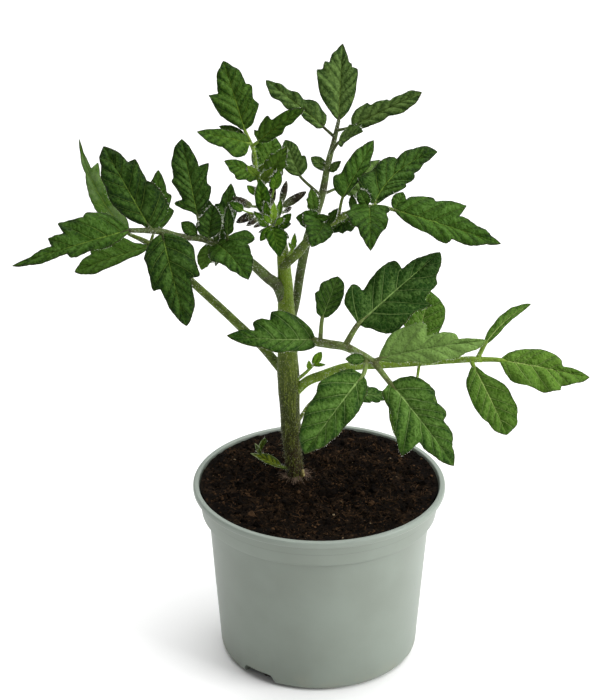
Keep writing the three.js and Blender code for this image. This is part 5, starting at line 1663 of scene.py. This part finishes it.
bud_finish, wire = new_finish("bud_sepals")
place = wire.node("TexCoord", {}, {}, output="Object")
hue = wire.node("Attribute", {"attribute_name": "tone"}, {}, output="Fac")
sepal = place.grain(500, 3).rise(0.35, 0.7).colours(BUD_DARK, BUD_BROWN)
sepal = (hue * 0.8).colours(sepal, BUD_GREEN)
feed(
    bud_finish,
    base_color=sepal,
    roughness=0.8,
    specular_ior_level=0.08,
    normal=wire.node("Bump", {}, {"Strength": 0.5, "Distance": 0.0002, "Height": place.grain(1500, 2)}),
)


def bud(line, coats):
    """A closed bud: a ridged body that swells and tapers, on a thin neck."""
    waist, tip = np.array(line["waist"], float), np.array(line["tip"], float)
    start = truss_line[np.linalg.norm(truss_line - line["foot"], axis=1).argmin()]
    neck_line, neck_radii = smooth_line([start, line["foot"], waist], [0.6, 0.5, 0.6], 0.8)
    neck = tube("neck", neck_line, neck_radii, 10)
    neck.data.materials.append(bright_stalk)
    ahead = unit(tip - waist)
    across = unit(np.cross(ahead, (0.2, 0.3, 0.9)))
    aside = np.cross(ahead, across)
    share = np.linspace(0, 1, 26)
    swell = np.interp(share, [0, 0.08, 0.35, 0.6, 0.85, 1], [0.5, 0.9, 1.2, 1.1, 0.7, 0.2]) * line["radius"]
    angles = 2 * np.pi * np.arange(41) / 40
    lobed = 1 + (0.1 + 0.45 * share[:, None] ** 3) * (np.abs(np.cos(2.5 * angles)) - 0.6)
    centres = waist + (tip - waist) * share[:, None]
    arms = np.cos(angles)[:, None] * across + np.sin(angles)[:, None] * aside
    body = centres[:, None] + arms * (swell[:, None] * lobed)[..., None]
    ends = [np.broadcast_to(end, (1, 41, 3)) for end in (waist - ahead * 0.2, tip + ahead * 0.15)]
    closed = shaped_grid("bud", np.concatenate([ends[0], body, ends[1]]))
    hue = np.concatenate([[1], 1 - np.minimum(1, share * 2), [0]])
    attribute = closed.data.attributes.new("tone", "FLOAT", "POINT")
    attribute.data.foreach_set("value", np.repeat(hue, 41))
    weld(closed)
    closed.data.materials.append(bud_finish)
    coats.append(bristles(centres[:16], swell[:16], 100, 1.5))
    coats.append(bristles(centres[16:], swell[16:], 40, 1))
    coats.append(bristles(neck_line, neck_radii, 120, 2.4))
    return [neck, closed]


truss_coats = []
truss_line, truss_radii = smooth_line(TRUSS_STALK, [0.9, 1.1, 1.2], 0.8)
truss_stalk = tube("truss_stalk", truss_line, truss_radii, 14)
truss_stalk.data.materials.append(bright_stalk)
truss_coats.append(bristles(truss_line, truss_radii, 120, 1.2))
truss_pieces = [truss_stalk]
for line in BUD_LINES:
    truss_pieces += bud(line, truss_coats)
truss = joined("flower_buds", truss_pieces)
smooth(truss, 50)
truss_hairs = hair_coat("flower_bud_hairs", truss_coats, 0.04, down_finish)
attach(truss, "root")
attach(truss_hairs, "root")
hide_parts("flower_truss")


# Side shoots
# Two young shoots in the angles between leaf stalks and stem, each a tuft of tiny leaves.

LOW_SHOOT = dict(
    stalk_points=[(-13, 7, 136), (-7, 5, 142), (-2, 6, 147)],
    stalk_radii=[0.9, 0.8, 0.6],
    leaflets=[
        dict(base=(-3, 6, 146), tip=(1, 6, 153), faces=FORWARD, broad=1.1, tone=1.3),
        dict(base=(-5, 5.5, 144), tip=(-5, 3, 150), faces=FORWARD, left=SPEAR, right=TOOTHED, tone=1.5),
        dict(base=(-3, 6, 146), tip=(3, 4, 147), faces=SLANTED, left=SPEAR, right=SPEAR, tone=1.1),
    ],
)
low_shoot, low_shoot_hairs = grown_leaf("low_side_shoot", LOW_SHOOT, tip_finishes, bright_stalk, hairiness=8)
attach(low_shoot, "root")
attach(low_shoot_hairs, "root")
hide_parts("side_shoot_low")

HIGH_SHOOT = dict(
    stalk_points=[(-15, 6, 200), (-12.5, 3.4, 206), (-12, 2.5, 209)],
    stalk_radii=[0.9, 0.9, 0.7],
    leaflets=[
        dict(
            base=(-12.6, 2.8, 206.5), tip=(-11.4, 2.2, 214.4), faces=FORWARD, left=SPEAR, right=TOOTHED, fold=0.5,
            tone=1.2,
        ),
        dict(base=(-12.6, 2.6, 206), tip=(-14.4, 1.6, 210), faces=FORWARD, left=SPEAR, right=SPEAR, tone=1.2),
    ],
)
high_shoot, high_shoot_hairs = grown_leaf("high_side_shoot", HIGH_SHOOT, tip_finishes, bright_stalk, hairiness=8)
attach(high_shoot, "root")
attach(high_shoot_hairs, "root")
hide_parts("side_shoot_high")


# Seed leaf
# What is left of a seed leaf low on the stem: a soft yellow-green strip with a split, pale, dried end.

SEED_LEAF = dict(
    stalk_points=[(-12, 7.5, 90), (-16, 5.8, 91.5), (-20, 5, 93.6)],
    stalk_radii=[0.9, 0.9, 0.8],
    leaflets=[
        dict(
            base=(-17.5, 5.8, 91.8), tip=(-32.6, 3, 101), faces=(0, -0.6, 0.75), fold=0.6, arch=0.03, tone=0.3,
            downy=0.15,
            left=[(0.15, 0.09), (0.5, 0.16), (0.8, 0.08)], right=[(0.2, 0.12), (0.5, 0.17), (0.8, 0.06)],
        ),
        dict(
            base=(-28.5, 4.2, 99.5), tip=(-25.6, 6.6, 107.4), faces=(0.3, -0.9, 0.3), broad=1.1, fold=0.7,
            left=[(0.1, 0.12), (0.4, 0.16), (0.8, 0.16)], right=[(0.2, 0.1), (0.6, 0.14), (0.9, 0.2)],
            bow=-0.1, tone=-0.2, downy=0.15,
        ),
        dict(
            base=(-27.6, 4, 99.8), tip=(-30.5, 4.4, 105.6), carried_from=(-27, 4.2, 98.6), faces=(-0.2, -0.9, 0.4),
            left=SPEAR, right=OVAL, fold=0.5, tone=-0.2, downy=0.15,
        ),
    ],
)
WITHERED_GREEN = paint(44, 62, 14)
WITHERED_YELLOW = paint(132, 144, 24)
WITHERED_PALE = paint(140, 154, 110)
WITHERED_BELOW = paint(84, 106, 66)

seed_finishes = blade_finishes(
    "seed_leaf_blade", WITHERED_GREEN, WITHERED_YELLOW, WITHERED_PALE, WITHERED_BELOW, WITHERED_PALE, 0.6
)
seed_leaf, seed_leaf_hairs = grown_leaf("withered_seed_leaf", SEED_LEAF, seed_finishes, green_stalk, hairiness=4)
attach(seed_leaf, "root")
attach(seed_leaf_hairs, "root")
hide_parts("seed_leaf")
